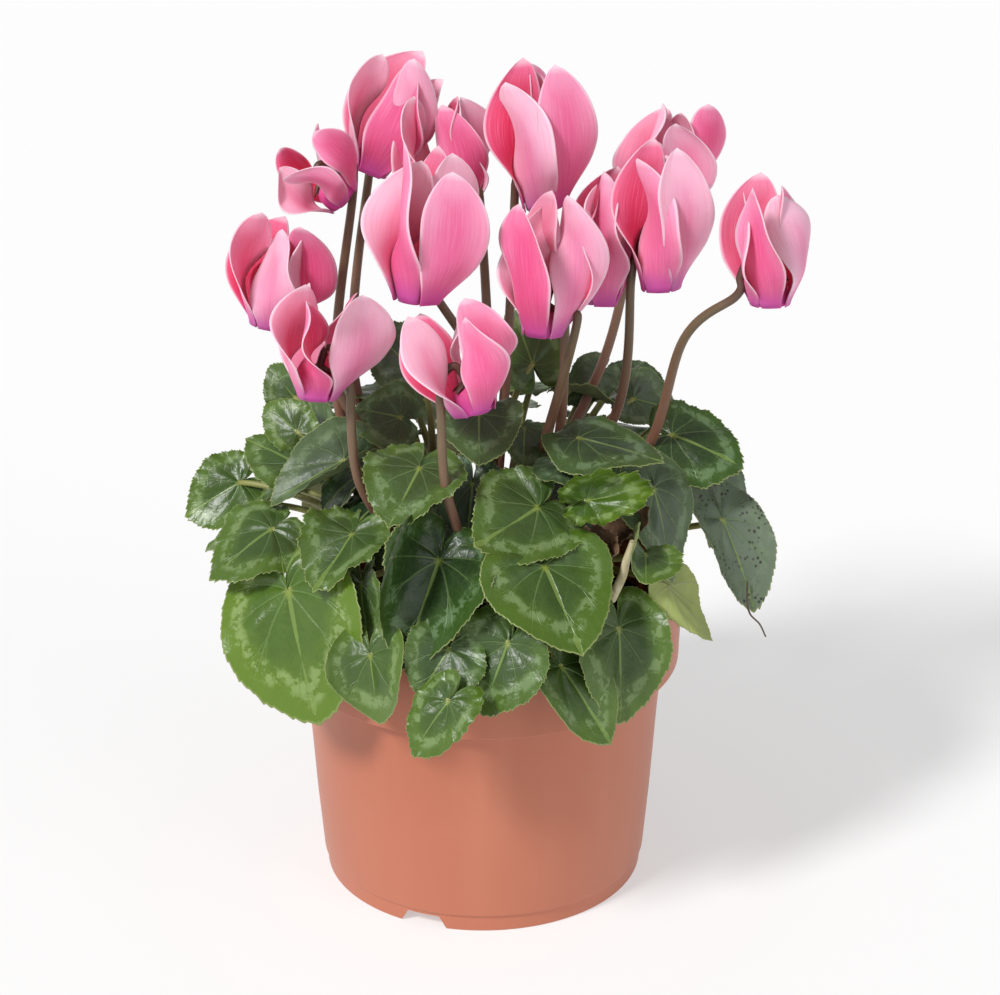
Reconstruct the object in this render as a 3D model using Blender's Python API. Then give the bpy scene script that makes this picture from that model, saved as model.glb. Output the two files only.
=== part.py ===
"""Potted cyclamen: nursery pot, potting soil, tuber, nodding flowers and leaves.

Metres, +Z up, origin at the centre of the pot's foot. The driving sizes and the
places of the pieces are in millimetres below and are scaled by MM.
"""
import math

import bmesh
import bpy
from mathutils import Vector
from mathutils.bvhtree import BVHTree

MM = 0.001
GAP = 0.32              # clearance kept between two pieces

# Pot: a thin-walled thermoformed nursery pot with a tall rim band
POT_HEIGHT = 100.0
RIM_RADIUS = 65.0
RIM_LOW = 76.0          # lower edge of the rim band
LEDGE_TOP = 77.3        # the ledge that carries the band
BODY_TOP_RADIUS = 59.1
FOOT_RADIUS = 52.5
WALL = 1.3
BAND_WALL = 1.5
FLOOR_LOW = 4.5
FLOOR_TOP = 6.2
NOTCH_WIDTH = 17.0
NOTCH_HEIGHT = 4.4
NOTCH_AZIMUTHS = (-111.7, 8.3, 128.3)
HOLE_RADIUS = 4.0
HOLE_CIRCLE = 34.0
HOLES = 6

# Soil and tuber
SOIL_TOP = 84.0
TUBER_RADIUS = 26.5
TUBER_TOP = 93.0

# Stems
PETIOLE_RADIUS = 1.25
STALK_RADIUS = 1.75
FLOWER_RING = 11.0      # where the stems leave the tuber
MIDDLE_RING = 17.0
OUTER_RING = 23.0

BLADE = 0.9             # leaf thickness
PETAL = 0.9             # petal thickness

# Half outline of a leaf: angle from the tip about the stem, reach as part of the length
HEART = ((0, 1.0), (12, 0.95), (30, 0.84), (50, 0.74), (70, 0.65), (90, 0.59),
         (110, 0.54), (130, 0.51), (150, 0.47), (166, 0.36), (180, 0.12))

# Leaves: name, where the stem joins the blade, tip, width/length, roll in degrees or
# the way the blade faces, bend of the tip, cup across, ring the stem leaves from
LEAVES = (
    ("leaf_01", (-82, 40, 118), (-101, 34, 109), 1.2, (-0.3, -0.8, 0.5), 0.15, 0.10, "o"),
    ("leaf_02", (-60, -2, 143), (-77, 12, 147), 1.1, 10, 0.10, -0.2, "m"),
    ("leaf_03", (-50, 12, 141), (-59, 24, 157), 1.0, 0, 0.10, 0.2, "m"),
    ("leaf_04", (-44, -14, 149), (-70, -22, 137), 0.7, -25, 0.10, 0.1, "m"),
    ("leaf_05", (-66, -29, 132), (-85, -41, 124), 1.3, (-0.5, -0.6, 0.6), 0.20, -0.1, "o"),
    ("leaf_06", (-40, -44, 137), (-53, -60, 126), 1.3, 0, 0.15, 0.1, "m"),
    ("leaf_07", (-60, -46, 119), (-55, -67, 83), 1.15, 0, 0.12, -0.1, "o"),
    ("leaf_08", (-34, -67, 107), (-33, -77, 86), 1.12, 10, 0.10, 0.2, "o"),
    ("leaf_09", (-13, -56, 134), (-24, -74, 109), 1.15, -10, 0.15, 0.3, "m"),
    ("leaf_10", (-10, -73, 112), (-20, -81, 99), 1.4, -8, 0.10, 0.1, "o"),
    ("leaf_11", (8, -75, 115), (-1, -84, 94), 1.2, 10, 0.12, -0.1, "o"),
    ("leaf_12", (-10, -86, 101), (-23, -90, 84), 0.95, 0, 0.10, -0.2, "o"),
    ("leaf_13", (19, -63, 135), (30, -84, 116), 1.3, 0, 0.10, 0.15, "o"),
    ("leaf_14", (24, -69, 104), (41, -77, 82), 0.95, -10, 0.08, -0.3, "o"),
    ("leaf_15", (42, -57, 111), (45, -72, 83), 0.95, 5, 0.12, 0.2, "o"),
    ("leaf_16", (17, -46, 147), (-2, -64, 142), 1.3, 0, 0.0, 0.1, "m"),
    ("leaf_17", (-19, -46, 160), (-29, -64, 150), 1.4, 0, 0.15, 0.1, "m"),
    ("leaf_18", (32, -52, 152), (53, -50, 155), 0.8, 20, -0.20, 0.4, "m"),
    ("leaf_19", (50, -55, 135), (49, -69, 130), 1.4, 0, -0.10, 0.4, "o"),
    ("leaf_20", (30, -32, 164), (54, -43, 163), 1.0, -5, 0.12, -0.1, "m"),
    ("leaf_21", (53, -34, 148), (61, -50, 122), 1.0, 0, 0.12, -0.15, "m"),
    ("leaf_22", (60, -10, 156), (83, -18, 150), 1.15, (0.2, -0.6, 0.8), 0.15, -0.1, "m"),
    ("leaf_23", (76, -17, 130), (90, -31, 104), 1.1, (0.5, -0.8, 0.3), 0.15, 0.1, "o"),
    ("leaf_24", (58, -42, 118), (71, -44, 101), 0.9, 180, 0.10, -0.3, "o"),
    ("leaf_25", (49, 26, 154), (66, 27, 150), 1.1, (0.1, -0.7, 0.7), 0.15, 0.1, "m"),
    ("leaf_26", (16, 16, 170), (9, 26, 187), 1.1, (0.1, -0.8, 0.5), 0.10, 0.1, "m"),
    ("leaf_27", (-1, -22, 168), (-1, -42, 161), 1.2, 0, 0.15, 0.1, "m"),
    ("leaf_28", (38, 60, 132), (50, 82, 120), 1.2, 0, 0.20, 0.1, "o"),
    ("leaf_29", (-2, 62, 136), (-6, 95, 122), 1.2, 0, 0.20, 0.1, "o"),
    ("leaf_30", (-42, 56, 132), (-60, 76, 120), 1.2, 0, 0.20, 0.1, "o"),
)

# Flowers: name, centre of the mouth, axis from mouth to petal tips, petal length,
# petal width, outward lean, twist, side the stalk rises on, stalk waypoints
FLOWERS = (
    ("a", (-36, 22, 233), (0.42, 0.1, 1), 39, 19, 1, 35, 90, ((-41, 19, 160),)),
    ("b", (-43, 6, 229), (-0.9, -0.1, 0.9), 24, 15, 16, 25, 20, ((-46, 8, 157),)),
    ("c", (-20, -32, 209), (0.12, 0.15, 1), 47, 21, 5.5, 35, 60, ((3, -10, 168),)),
    ("d", (-10, 12, 221), (-0.05, 0.2, 1), 38, 18, 5, 30, -20, ((2, 4, 165),)),
    ("e", (19, 0, 228), (-0.12, 0.1, 1), 46, 20, 3, 30, 150, ((8, 6, 180),)),
    ("f", (-67, -5, 191), (0.20, 0.1, 1), 35, 18, 3, 35, 20, ((-43, -5, 164),)),
    ("g", (-50, -38, 180), (0.05, 0.15, 1), 35, 19, 8, 35, 20,
     ((-13, -12, 132), (-39, -44, 156))),
    ("h", (-2, -50, 180), (-0.25, 0.2, 1), 34, 18, 5, 40, 190,
     ((-5, -44, 130), (-11, -55, 158))),
    ("i", (18, -34, 199), (0.08, 0.15, 1), 43, 18, 1, 30, 0, ((18, -18, 152),)),
    ("j", (36, -8, 200), (0.10, 0.1, 1), 42, 18, 7, 25, 180, ((24, -6, 153),)),
    ("k", (55, -15, 207), (-0.06, 0.1, 1), 46, 19, 0.5, 35, 150, ((42, -5, 161),)),
    ("l", (59, 22, 220), (0.05, 0.1, 1), 34, 17, 4, 25, 190, ((39, 16, 172),)),
    ("m", (86, -45, 213), (-0.02, 0.1, 1), 37, 18, 4, 25, 162,
     ((56, -10, 166), (67, -29, 195))),
)


def clear_scene():
    for ob in list(bpy.data.objects):
        bpy.data.objects.remove(ob, do_unlink=True)


def material(name, colour, rough, metallic=0.0):
    m = bpy.data.materials.new(name)
    m.use_nodes = True
    b = m.node_tree.nodes["Principled BSDF"]
    b.inputs["Base Color"].default_value = (*colour, 1.0)
    b.inputs["Roughness"].default_value = rough
    b.inputs["Metallic"].default_value = metallic
    return m


def add_object(name, bm, mat):
    bmesh.ops.remove_doubles(bm, verts=bm.verts, dist=1e-7)
    bmesh.ops.recalc_face_normals(bm, faces=bm.faces)
    me = bpy.data.meshes.new(name)
    bm.to_mesh(me)
    bm.free()
    ob = bpy.data.objects.new(name, me)
    bpy.context.scene.collection.objects.link(ob)
    if mat:
        me.materials.append(mat)
    return ob


def lathe(bm, profile, sides):
    """Turn a closed or axis-to-axis profile of (radius, z) mm about Z."""
    rings = []
    for r, z in profile:
        if r == 0:
            rings.append([bm.verts.new((0, 0, z * MM))])
            continue
        ring = []
        for i in range(sides):
            a = math.tau * i / sides
            ring.append(bm.verts.new((r * MM * math.cos(a), r * MM * math.sin(a), z * MM)))
        rings.append(ring)
    for lo, hi in zip(rings, rings[1:]):
        for i in range(sides):
            j = (i + 1) % sides
            corners = [lo[i % len(lo)], lo[j % len(lo)], hi[j % len(hi)], hi[i % len(hi)]]
            bm.faces.new(list(dict.fromkeys(corners)))


def sweep(bm, points, radii, sides):
    """Close a round stem along the points (mm)."""
    pts = [Vector(p) * MM for p in points]
    side = Vector((1, 0, 0))
    rings = []
    for k, p in enumerate(pts):
        d = (pts[min(k + 1, len(pts) - 1)] - pts[max(k - 1, 0)]).normalized()
        if k == 0:
            d = Vector((0, 0, 1))
        side = (side - d * side.dot(d)).normalized()
        up = d.cross(side)
        ring = []
        for i in range(sides):
            a = math.tau * i / sides
            off = side * math.cos(a) + up * math.sin(a)
            ring.append(bm.verts.new(p + off * radii[k] * MM))
        rings.append(ring)
    for lo, hi in zip(rings, rings[1:]):
        for i in range(sides):
            j = (i + 1) % sides
            bm.faces.new((lo[i], lo[j], hi[j], hi[i]))
    bm.faces.new(rings[0][::-1])
    bm.faces.new(rings[-1])


def thicken(bm, grid_top, grid_low, loop):
    """Join two like sheets of faces along their outline."""
    for i in range(len(loop)):
        a, b = loop[i], loop[(i + 1) % len(loop)]
        bm.faces.new((grid_top[a], grid_top[b], grid_low[b], grid_low[a]))


def bezier(p0, p1, p2, p3, steps):
    out = []
    for i in range(steps + 1):
        t = i / steps
        s = 1 - t
        out.append(p0 * s ** 3 + p1 * 3 * s * s * t + p2 * 3 * s * t * t + p3 * t ** 3)
    return out


def spline(points, steps):
    """Smooth curve through the points."""
    pts = [points[0] * 2 - points[1], *points, points[-1] * 2 - points[-2]]
    out = []
    for i in range(1, len(pts) - 2):
        a, b, c, d = pts[i - 1:i + 3]
        for k in range(steps):
            t = k / steps
            out.append(0.5 * (b * 2 + (c - a) * t + (a * 2 - b * 5 + c * 4 - d) * t * t
                              + (b * 3 - a - c * 3 + d) * t ** 3))
    out.append(points[-1])
    return out


def boolean(ob, other, kind):
    mod = ob.modifiers.new(kind, "BOOLEAN")
    mod.operation = kind
    mod.solver = "EXACT"
    mod.object = other
    other.hide_render = True
    other.display_type = "WIRE"
    dg = bpy.context.evaluated_depsgraph_get()
    me = bpy.data.meshes.new_from_object(ob.evaluated_get(dg))
    ob.modifiers.remove(mod)
    ob.data = me
    bm = bmesh.new()
    bm.from_mesh(me)
    bmesh.ops.remove_doubles(bm, verts=bm.verts, dist=2e-6)
    bmesh.ops.triangulate(bm, faces=bm.faces)
    bm.to_mesh(me)
    bm.free()


def tidy_flats(ob):
    """Dissolve the extra edges the cuts leave across flat faces."""
    bm = bmesh.new()
    bm.from_mesh(ob.data)
    bmesh.ops.dissolve_limit(bm, angle_limit=math.radians(0.3), verts=bm.verts, edges=bm.edges)
    bmesh.ops.triangulate(bm, faces=bm.faces)
    bm.to_mesh(ob.data)
    bm.free()


def drop(ob):
    bpy.data.objects.remove(ob, do_unlink=True)


def tree_of(ob):
    bm = bmesh.new()
    bm.from_mesh(ob.data)
    tree = BVHTree.FromBMesh(bm)
    bm.free()
    return tree


def boxes_meet(a, b, slack):
    for k in range(3):
        alo = min(v.co[k] for v in a.data.vertices)
        ahi = max(v.co[k] for v in a.data.vertices)
        blo = min(v.co[k] for v in b.data.vertices)
        bhi = max(v.co[k] for v in b.data.vertices)
        if alo > bhi + slack or blo > ahi + slack:
            return False
    return True


def swollen(ob, by):
    """A copy grown outward by the clearance."""
    me = ob.data.copy()
    grown = bpy.data.objects.new(ob.name + "_clear", me)
    bpy.context.scene.collection.objects.link(grown)
    normals = [v.normal.copy() for v in me.vertices]
    for v, n in zip(me.vertices, normals):
        v.co = v.co + n * by * MM
    return grown


def keep_near(ob, point):
    """Keep only the piece of the mesh that reaches nearest to the point (mm)."""
    bm = bmesh.new()
    bm.from_mesh(ob.data)
    left = set(bm.verts)
    best = None
    target = Vector(point) * MM
    while left:
        seed = left.pop()
        group = {seed}
        queue = [seed]
        while queue:
            v = queue.pop()
            for e in v.link_edges:
                w = e.other_vert(v)
                if w not in group:
                    group.add(w)
                    queue.append(w)
        left -= group
        near = min((v.co - target).length for v in group) - len(group) * 2e-5
        if best is None or near < best[0]:
            best = (near, group)
    bmesh.ops.delete(bm, geom=[v for v in bm.verts if v not in best[1]], context="VERTS")
    bm.to_mesh(ob.data)
    bm.free()


def clear_of(ob, others, keep_at):
    """Trim an object where it would touch pieces already placed."""
    for other in others:
        if not boxes_meet(ob, other, GAP * MM):
            continue
        cutter = swollen(other, GAP)
        if tree_of(ob).overlap(tree_of(cutter)):
            boolean(ob, cutter, "DIFFERENCE")
            keep_near(ob, keep_at)
        drop(cutter)


def band_radius(z):
    """Outer radius of the rim band, which widens towards the top."""
    return RIM_RADIUS - 0.9 * (POT_HEIGHT - z) / (POT_HEIGHT - RIM_LOW)


def build_rim(mat):
    """The tall band, a plain ring, so that it stays open above the soil as hulls too."""
    low = LEDGE_TOP + GAP
    outline = [(band_radius(z) - inset, z) for z, inset in (
        (low, 0), (POT_HEIGHT, 0), (POT_HEIGHT, BAND_WALL), (low, BAND_WALL))]
    bm = bmesh.new()
    lathe(bm, outline + outline[:1], 48)
    return add_object("pot_rim", bm, mat)


def build_pot(mat):
    bm = bmesh.new()
    low = FLOOR_LOW
    profile = [
        (0, low), (FOOT_RADIUS - 1.8, low), (FOOT_RADIUS - 1.9, 0), (FOOT_RADIUS, 0),
        (FOOT_RADIUS + 0.5, 5.6), (FOOT_RADIUS + 1.0, 6.2),
        (BODY_TOP_RADIUS, RIM_LOW), (band_radius(RIM_LOW), RIM_LOW),
        (band_radius(LEDGE_TOP), LEDGE_TOP), (BODY_TOP_RADIUS - WALL, LEDGE_TOP),
        (FOOT_RADIUS - 0.8, FLOOR_TOP), (0, FLOOR_TOP),
    ]
    lathe(bm, profile, 48)
    pot = add_object("pot", bm, mat)
    for azimuth in NOTCH_AZIMUTHS:
        bm = bmesh.new()
        half = NOTCH_WIDTH / 2
        low_ring = []
        top_ring = []
        for x in (FOOT_RADIUS - 6, FOOT_RADIUS + 6):
            for y, z in ((-half, -1), (half, -1), (half - 3, NOTCH_HEIGHT), (3 - half, NOTCH_HEIGHT)):
                v = bm.verts.new((x * MM, y * MM, z * MM))
                (low_ring if x < FOOT_RADIUS else top_ring).append(v)
        bm.faces.new(low_ring)
        bm.faces.new(top_ring)
        for i in range(4):
            j = (i + 1) % 4
            bm.faces.new((low_ring[i], low_ring[j], top_ring[j], top_ring[i]))
        cut = add_object("notch_cutter", bm, None)
        a = math.radians(azimuth)
        for v in cut.data.vertices:
            x, y, z = v.co
            v.co = (x * math.cos(a) - y * math.sin(a), x * math.sin(a) + y * math.cos(a), z)
        boolean(pot, cut, "DIFFERENCE")
        drop(cut)
    for i in range(HOLES):
        a = math.tau * (i + 0.5) / HOLES
        bm = bmesh.new()
        bmesh.ops.create_cone(bm, cap_ends=True, segments=10, radius1=HOLE_RADIUS * MM,
                              radius2=HOLE_RADIUS * MM, depth=6 * MM)
        centre = Vector((HOLE_CIRCLE * math.cos(a), HOLE_CIRCLE * math.sin(a), 5.3)) * MM
        bmesh.ops.translate(bm, verts=bm.verts, vec=centre)
        cut = add_object("hole_cutter", bm, None)
        boolean(pot, cut, "DIFFERENCE")
        drop(cut)
    tidy_flats(pot)
    return pot


def tuber_height(r):
    """Height of the tuber's crown at a distance from its middle."""
    line = ((0, TUBER_TOP), (8, TUBER_TOP - 0.4), (18, TUBER_TOP - 1.6), (24, TUBER_TOP - 4.2))
    for (a, za), (b, zb) in zip(line, line[1:]):
        if r <= b:
            return za + (zb - za) * (r - a) / (b - a)
    return line[-1][1]


def build_soil(mat):
    bm = bmesh.new()
    foot = FOOT_RADIUS - 1.2
    shoulder = BODY_TOP_RADIUS - WALL
    g = GAP
    profile = [
        (0, FLOOR_TOP + g), (foot, FLOOR_TOP + g),
        (shoulder - g - 0.15, LEDGE_TOP + g),
        (RIM_RADIUS - 2.95, LEDGE_TOP + g),
        (RIM_RADIUS - 2.7, SOIL_TOP - 3.5), (RIM_RADIUS - 6, SOIL_TOP - 1.2),
        (42, SOIL_TOP), (TUBER_RADIUS + g, SOIL_TOP),
        (TUBER_RADIUS + g, 76), (20, 70.8), (0, 70.2),
    ]
    lathe(bm, profile, 32)
    return add_object("potting_soil", bm, mat)


def build_tuber(mat):
    bm = bmesh.new()
    r = TUBER_RADIUS
    profile = [(0, 70.6), (19.8, 71.2), (r - 0.1, 76.3), (r, SOIL_TOP - 1),
               (r - 0.4, TUBER_TOP - 6.4)]
    for s in (24, 18, 8, 0):
        profile.append((s, tuber_height(s)))
    lathe(bm, profile, 24)
    return add_object("tuber", bm, mat)


def crown_places(items, ring):
    """Share a ring of the crown evenly, in the order of the stems' directions."""
    order = sorted(items, key=lambda it: math.atan2(it[1].y, it[1].x))
    n = len(order)
    mean = sum(math.atan2(v.y, v.x) - math.tau * i / n for i, (_, v) in enumerate(order)) / n
    places = {}
    for i, (name, _) in enumerate(order):
        a = mean + math.tau * i / n
        z = tuber_height(max(ring - 1.5, 0)) + GAP + 0.05
        places[name] = Vector((ring * math.cos(a), ring * math.sin(a), z))
    return places


def reach(angle):
    a = abs(math.degrees(angle))
    for (a0, r0), (a1, r1) in zip(HEART, HEART[1:]):
        if a <= a1:
            return r0 + (r1 - r0) * (a - a0) / (a1 - a0)
    return HEART[-1][1]


def leaf_frame(join, tip, roll):
    """Axes along and across the blade and out of its upper face."""
    along = (tip - join).normalized()
    out = Vector((join.x, join.y, 0)).normalized()
    face = out * 0.6 + Vector((0, 0, 0.8))
    if isinstance(roll, tuple):
        face = Vector(roll)
        roll = 0
    face = (face - along * face.dot(along)).normalized()
    across = face.cross(along)
    c, s = math.cos(math.radians(roll)), math.sin(math.radians(roll))
    return along, across * c + face * s, face * c - across * s


def blade(name, join, tip, width, roll, bend, cup, mat):
    """A heart-shaped blade, thin and slightly arched, joined to its stem at the notch."""
    length = (tip - join).length
    along, across, face = leaf_frame(join, tip, roll)
    wide = width / 1.16
    bm = bmesh.new()
    sectors, rings = 12, (0.5, 1.0)
    sheets = ([], [])
    for side, sheet in zip((0.5, -0.5), sheets):
        sheet.append(bm.verts.new((join + face * side * BLADE) * MM))
        for k in rings:
            for i in range(sectors):
                t = math.tau * i / sectors
                t = t if t <= math.pi else t - math.tau
                r = reach(t) * k * length
                u, v = r * math.cos(t), r * math.sin(t) * wide
                h = -bend * max(u, 0) ** 2 / length + cup * v * v / length
                h += 0.05 * length * k * math.sin(3 * t + 1.3 * length)
                p = join + along * u + across * v + face * (h + side * BLADE * (1.3 - 0.5 * k))
                sheet.append(bm.verts.new(p * MM))
    n = sectors
    for s, sheet in enumerate(sheets):
        for i in range(n):
            j = (i + 1) % n
            fan = (sheet[0], sheet[1 + i], sheet[1 + j])
            strip = (sheet[1 + i], sheet[1 + n + i], sheet[1 + n + j], sheet[1 + j])
            bm.faces.new(fan if s == 0 else fan[::-1])
            bm.faces.new(strip if s == 0 else strip[::-1])
    thicken(bm, sheets[0], sheets[1], [1 + n + i for i in range(n)])
    return add_object(name, bm, mat)


def petiole_path(base, join, tip):
    out = Vector((join.x, join.y, 0)).normalized()
    drop_in = 0.5 if join.z < 128 else 1.0
    p1 = base + Vector((0, 0, max(12.0, (join.z - base.z) * 0.55))) + out * 2
    p2 = join - out * (16 if join.z < 128 else 10) + Vector((0, 0, 4 - 10 * (drop_in - 0.5) * 2))
    return bezier(base, p1, p2, join, 7)


def petiole(name, path, mat):
    bm = bmesh.new()
    n = len(path) - 1
    radii = [PETIOLE_RADIUS * (1.12 - 0.3 * k / n) for k in range(n + 1)]
    sweep(bm, path, radii, 5)
    return add_object(name, bm, mat)


def flower_frame(axis, side):
    w = Vector(axis).normalized()
    a = math.radians(side)
    e = Vector((math.cos(a), math.sin(a), 0))
    e = (e - w * e.dot(w)).normalized()
    return w, e, w.cross(e)


def stalk_path(base, mouth, axis, side, waypoints):
    w, e, _ = flower_frame(axis, side)
    first = Vector(waypoints[0])
    pts = [base, base + Vector((0, 0, 12)) + (first - base) * 0.1]
    pts += [Vector(p) for p in waypoints]
    pts += [mouth + e * 12.4 + w * 0, mouth + e * 10 + w * 10,
            mouth + e * 6.5 + w * 15, mouth + e * 2.2 + w * 15.6, mouth + w * 9.4]
    return spline(pts, 2)


def build_stalk(name, path, axis, side, mouth, mat):
    """Flower stalk with its crook and the small green calyx it ends in."""
    n = len(path) - 1
    radii = [STALK_RADIUS * (1.1 - 0.35 * k / n) for k in range(n + 1)]
    bm = bmesh.new()
    sweep(bm, path, radii, 5)
    stalk = add_object(name, bm, mat)
    w, e, f = flower_frame(axis, side)
    bm = bmesh.new()
    rings = []
    for r, h in ((4.3, 9.0), (1.9, 12.4)):
        ring = []
        for i in range(10):
            a = math.tau * i / 10
            star = r * (1.0 if i % 2 == 0 else 0.8)
            p = mouth + (e * math.cos(a) + f * math.sin(a)) * star + w * h
            ring.append(bm.verts.new(p * MM))
        rings.append(ring)
    for lo, hi in zip(rings, rings[1:]):
        for i in range(10):
            j = (i + 1) % 10
            bm.faces.new((lo[i], lo[j], hi[j], hi[i]))
    bm.faces.new(rings[0][::-1])
    bm.faces.new(rings[-1])
    calyx = add_object("calyx_blank", bm, None)
    boolean(stalk, calyx, "UNION")
    drop(calyx)
    return stalk


def build_corolla(name, mouth, axis, side, length, width, lean, twist, mat):
    """Tube open downward, five reflexed petals grown from its rim, stamen cone inside."""
    w, e, f = flower_frame(axis, side)
    bm = bmesh.new()
    sides = 9
    rings = []
    line = ((7.2, 0), (7.3, 3.2), (3.2, 8.6), (2.2, 7.4), (6.1, 2.8), (6.0, 0))
    for r, h in line:
        ring = []
        for i in range(sides):
            a = math.tau * i / sides
            p = mouth + (e * math.cos(a) + f * math.sin(a)) * r + w * h
            ring.append(bm.verts.new(p * MM))
        rings.append(ring)
    for k in range(len(rings)):
        if k == 2:
            continue
        lo, hi = rings[k], rings[(k + 1) % len(rings)]
        for i in range(sides):
            j = (i + 1) % sides
            bm.faces.new((lo[i], lo[j], hi[j], hi[i]))
    bm.faces.new(rings[2])
    bm.faces.new(rings[3][::-1])
    flower = add_object(name, bm, mat)
    bm = bmesh.new()
    cone = []
    for r, h in ((1.7, 7.9), (0.5, -1.2)):
        ring = []
        for i in range(5):
            a = math.tau * i / 5
            p = mouth + (e * math.cos(a) + f * math.sin(a)) * r + w * h
            ring.append(bm.verts.new(p * MM))
        cone.append(ring)
    for lo, hi in zip(cone, cone[1:]):
        for i in range(5):
            j = (i + 1) % 5
            bm.faces.new((lo[i], lo[j], hi[j], hi[i]))
    bm.faces.new(cone[0])
    bm.faces.new(cone[-1][::-1])
    part = add_object("stamen_blank", bm, None)
    boolean(flower, part, "UNION")
    drop(part)
    shape = ((0.0, 0.40), (0.36, 0.80), (0.76, 0.96), (1.0, 0.24))
    for i in range(5):
        az = math.radians(36 + 72 * i)
        grow = 1 + 0.07 * math.sin(2.4 * i + length)
        bm = bmesh.new()
        sheets = ([], [])
        for s, half in shape:
            radial = e * math.cos(az) + f * math.sin(az)
            tang = f * math.cos(az) - e * math.sin(az)
            out = 5.9 + 4.6 * min(s / 0.22, 1.0) + length * math.sin(math.radians(lean)) * s
            mid = mouth + radial * out + w * (1.0 + (length - 3) * s * grow)
            turn = math.radians(twist) * min(s / 0.5, 1.0)
            across = tang * math.cos(turn) + radial * math.sin(turn)
            face = radial * math.cos(turn) - tang * math.sin(turn)
            for sheet, lift in zip(sheets, (0.5, -0.5)):
                row = []
                for c in (-1, 0, 1):
                    p = mid + across * c * half * width / 2 + face * (lift * PETAL - 1.6 * c * c * half)
                    row.append(bm.verts.new(p * MM))
                sheet.append(row)
        rows = len(shape)
        for sheet in sheets:
            for k in range(rows - 1):
                for c in range(2):
                    bm.faces.new((sheet[k][c], sheet[k][c + 1], sheet[k + 1][c + 1], sheet[k + 1][c]))
        edge = [(0, c) for c in range(3)] + [(k, 2) for k in range(1, rows)]
        edge += [(rows - 1, 1), (rows - 1, 0)] + [(k, 0) for k in range(rows - 2, 0, -1)]
        for (k0, c0), (k1, c1) in zip(edge, edge[1:] + edge[:1]):
            bm.faces.new((sheets[0][k0][c0], sheets[0][k1][c1], sheets[1][k1][c1], sheets[1][k0][c0]))
        part = add_object("petal_blank", bm, None)
        boolean(flower, part, "UNION")
        drop(part)
    keep_near(flower, mouth)
    tidy_flats(flower)
    return flower


clear_scene()
TERRACOTTA = material("pot_plastic", (0.56, 0.20, 0.11), 0.45)
SOIL = material("soil", (0.012, 0.010, 0.008), 0.95)
CORM = material("tuber_skin", (0.10, 0.055, 0.03), 0.85)
LEAF = material("leaf_green", (0.05, 0.13, 0.025), 0.38)
PINK = material("petal_pink", (0.85, 0.25, 0.40), 0.5)
STEM = material("stalk_brown", (0.16, 0.07, 0.045), 0.5)

build_pot(TERRACOTTA)
build_rim(TERRACOTTA)
build_soil(SOIL)
build_tuber(CORM)

leaves = [(row[0], Vector(row[1]), Vector(row[2]), *row[3:]) for row in LEAVES]
places = crown_places([(r[0], r[1]) for r in leaves if r[7] == "o"], OUTER_RING)
places.update(crown_places([(r[0], r[1]) for r in leaves if r[7] == "m"], MIDDLE_RING))
places.update(crown_places([(r[0], Vector(r[8][0])) for r in FLOWERS], FLOWER_RING))

stalks = []
petioles = {}
corollas = []
for key, mouth, axis, length, width, lean, twist, side, waypoints in FLOWERS:
    path = stalk_path(places[key], Vector(mouth), axis, side, waypoints)
    stalks.append(build_stalk("stalk_" + key, path, axis, side, Vector(mouth), STEM))
for row in leaves:
    path = petiole_path(places[row[0]], row[1], row[2])
    petioles[row[0]] = petiole(row[0] + "_stem", path, LEAF)
for key, mouth, axis, length, width, lean, twist, side, waypoints in FLOWERS:
    flower = build_corolla("corolla_" + key, Vector(mouth), axis, side, length, width, lean,
                           twist, PINK)
    clear_of(flower, stalks + corollas, mouth)
    corollas.append(flower)

finished = []
for name, join, tip, width, roll, bend, cup, ring in leaves:
    sheet = blade(name, join, tip, width, roll, bend, cup, LEAF)
    others = [p for n, p in petioles.items() if n != name]
    clear_of(sheet, stalks + corollas + others + finished, join)
    boolean(sheet, petioles[name], "UNION")
    tidy_flats(sheet)
    finished.append(sheet)
for stem in petioles.values():
    drop(stem)
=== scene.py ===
"""Potted cyclamen, from the pot up to the flowers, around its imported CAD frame."""
import math

import bmesh
import bpy
import numpy as np
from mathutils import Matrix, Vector


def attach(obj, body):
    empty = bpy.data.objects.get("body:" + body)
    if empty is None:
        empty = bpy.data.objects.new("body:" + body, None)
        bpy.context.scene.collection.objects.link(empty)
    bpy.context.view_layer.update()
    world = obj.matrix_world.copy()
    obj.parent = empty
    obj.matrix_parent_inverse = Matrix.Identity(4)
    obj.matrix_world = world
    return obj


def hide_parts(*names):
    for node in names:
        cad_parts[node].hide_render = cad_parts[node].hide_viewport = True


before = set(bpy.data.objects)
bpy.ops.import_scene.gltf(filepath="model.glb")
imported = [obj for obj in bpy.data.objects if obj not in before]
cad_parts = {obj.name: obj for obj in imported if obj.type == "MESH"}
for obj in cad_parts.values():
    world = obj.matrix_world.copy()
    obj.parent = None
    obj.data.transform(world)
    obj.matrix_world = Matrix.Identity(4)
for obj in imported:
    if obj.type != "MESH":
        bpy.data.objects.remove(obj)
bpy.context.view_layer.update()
MM = 0.001


# ---------------------------------------------------------------- the pot
# A thermoformed polypropylene nursery pot in terracotta colour: a thin tapered wall
# with a tall rim band that stiffens it, a raised floor with drainage holes, and a
# foot ring cut by three notches so water runs away under it.

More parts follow.
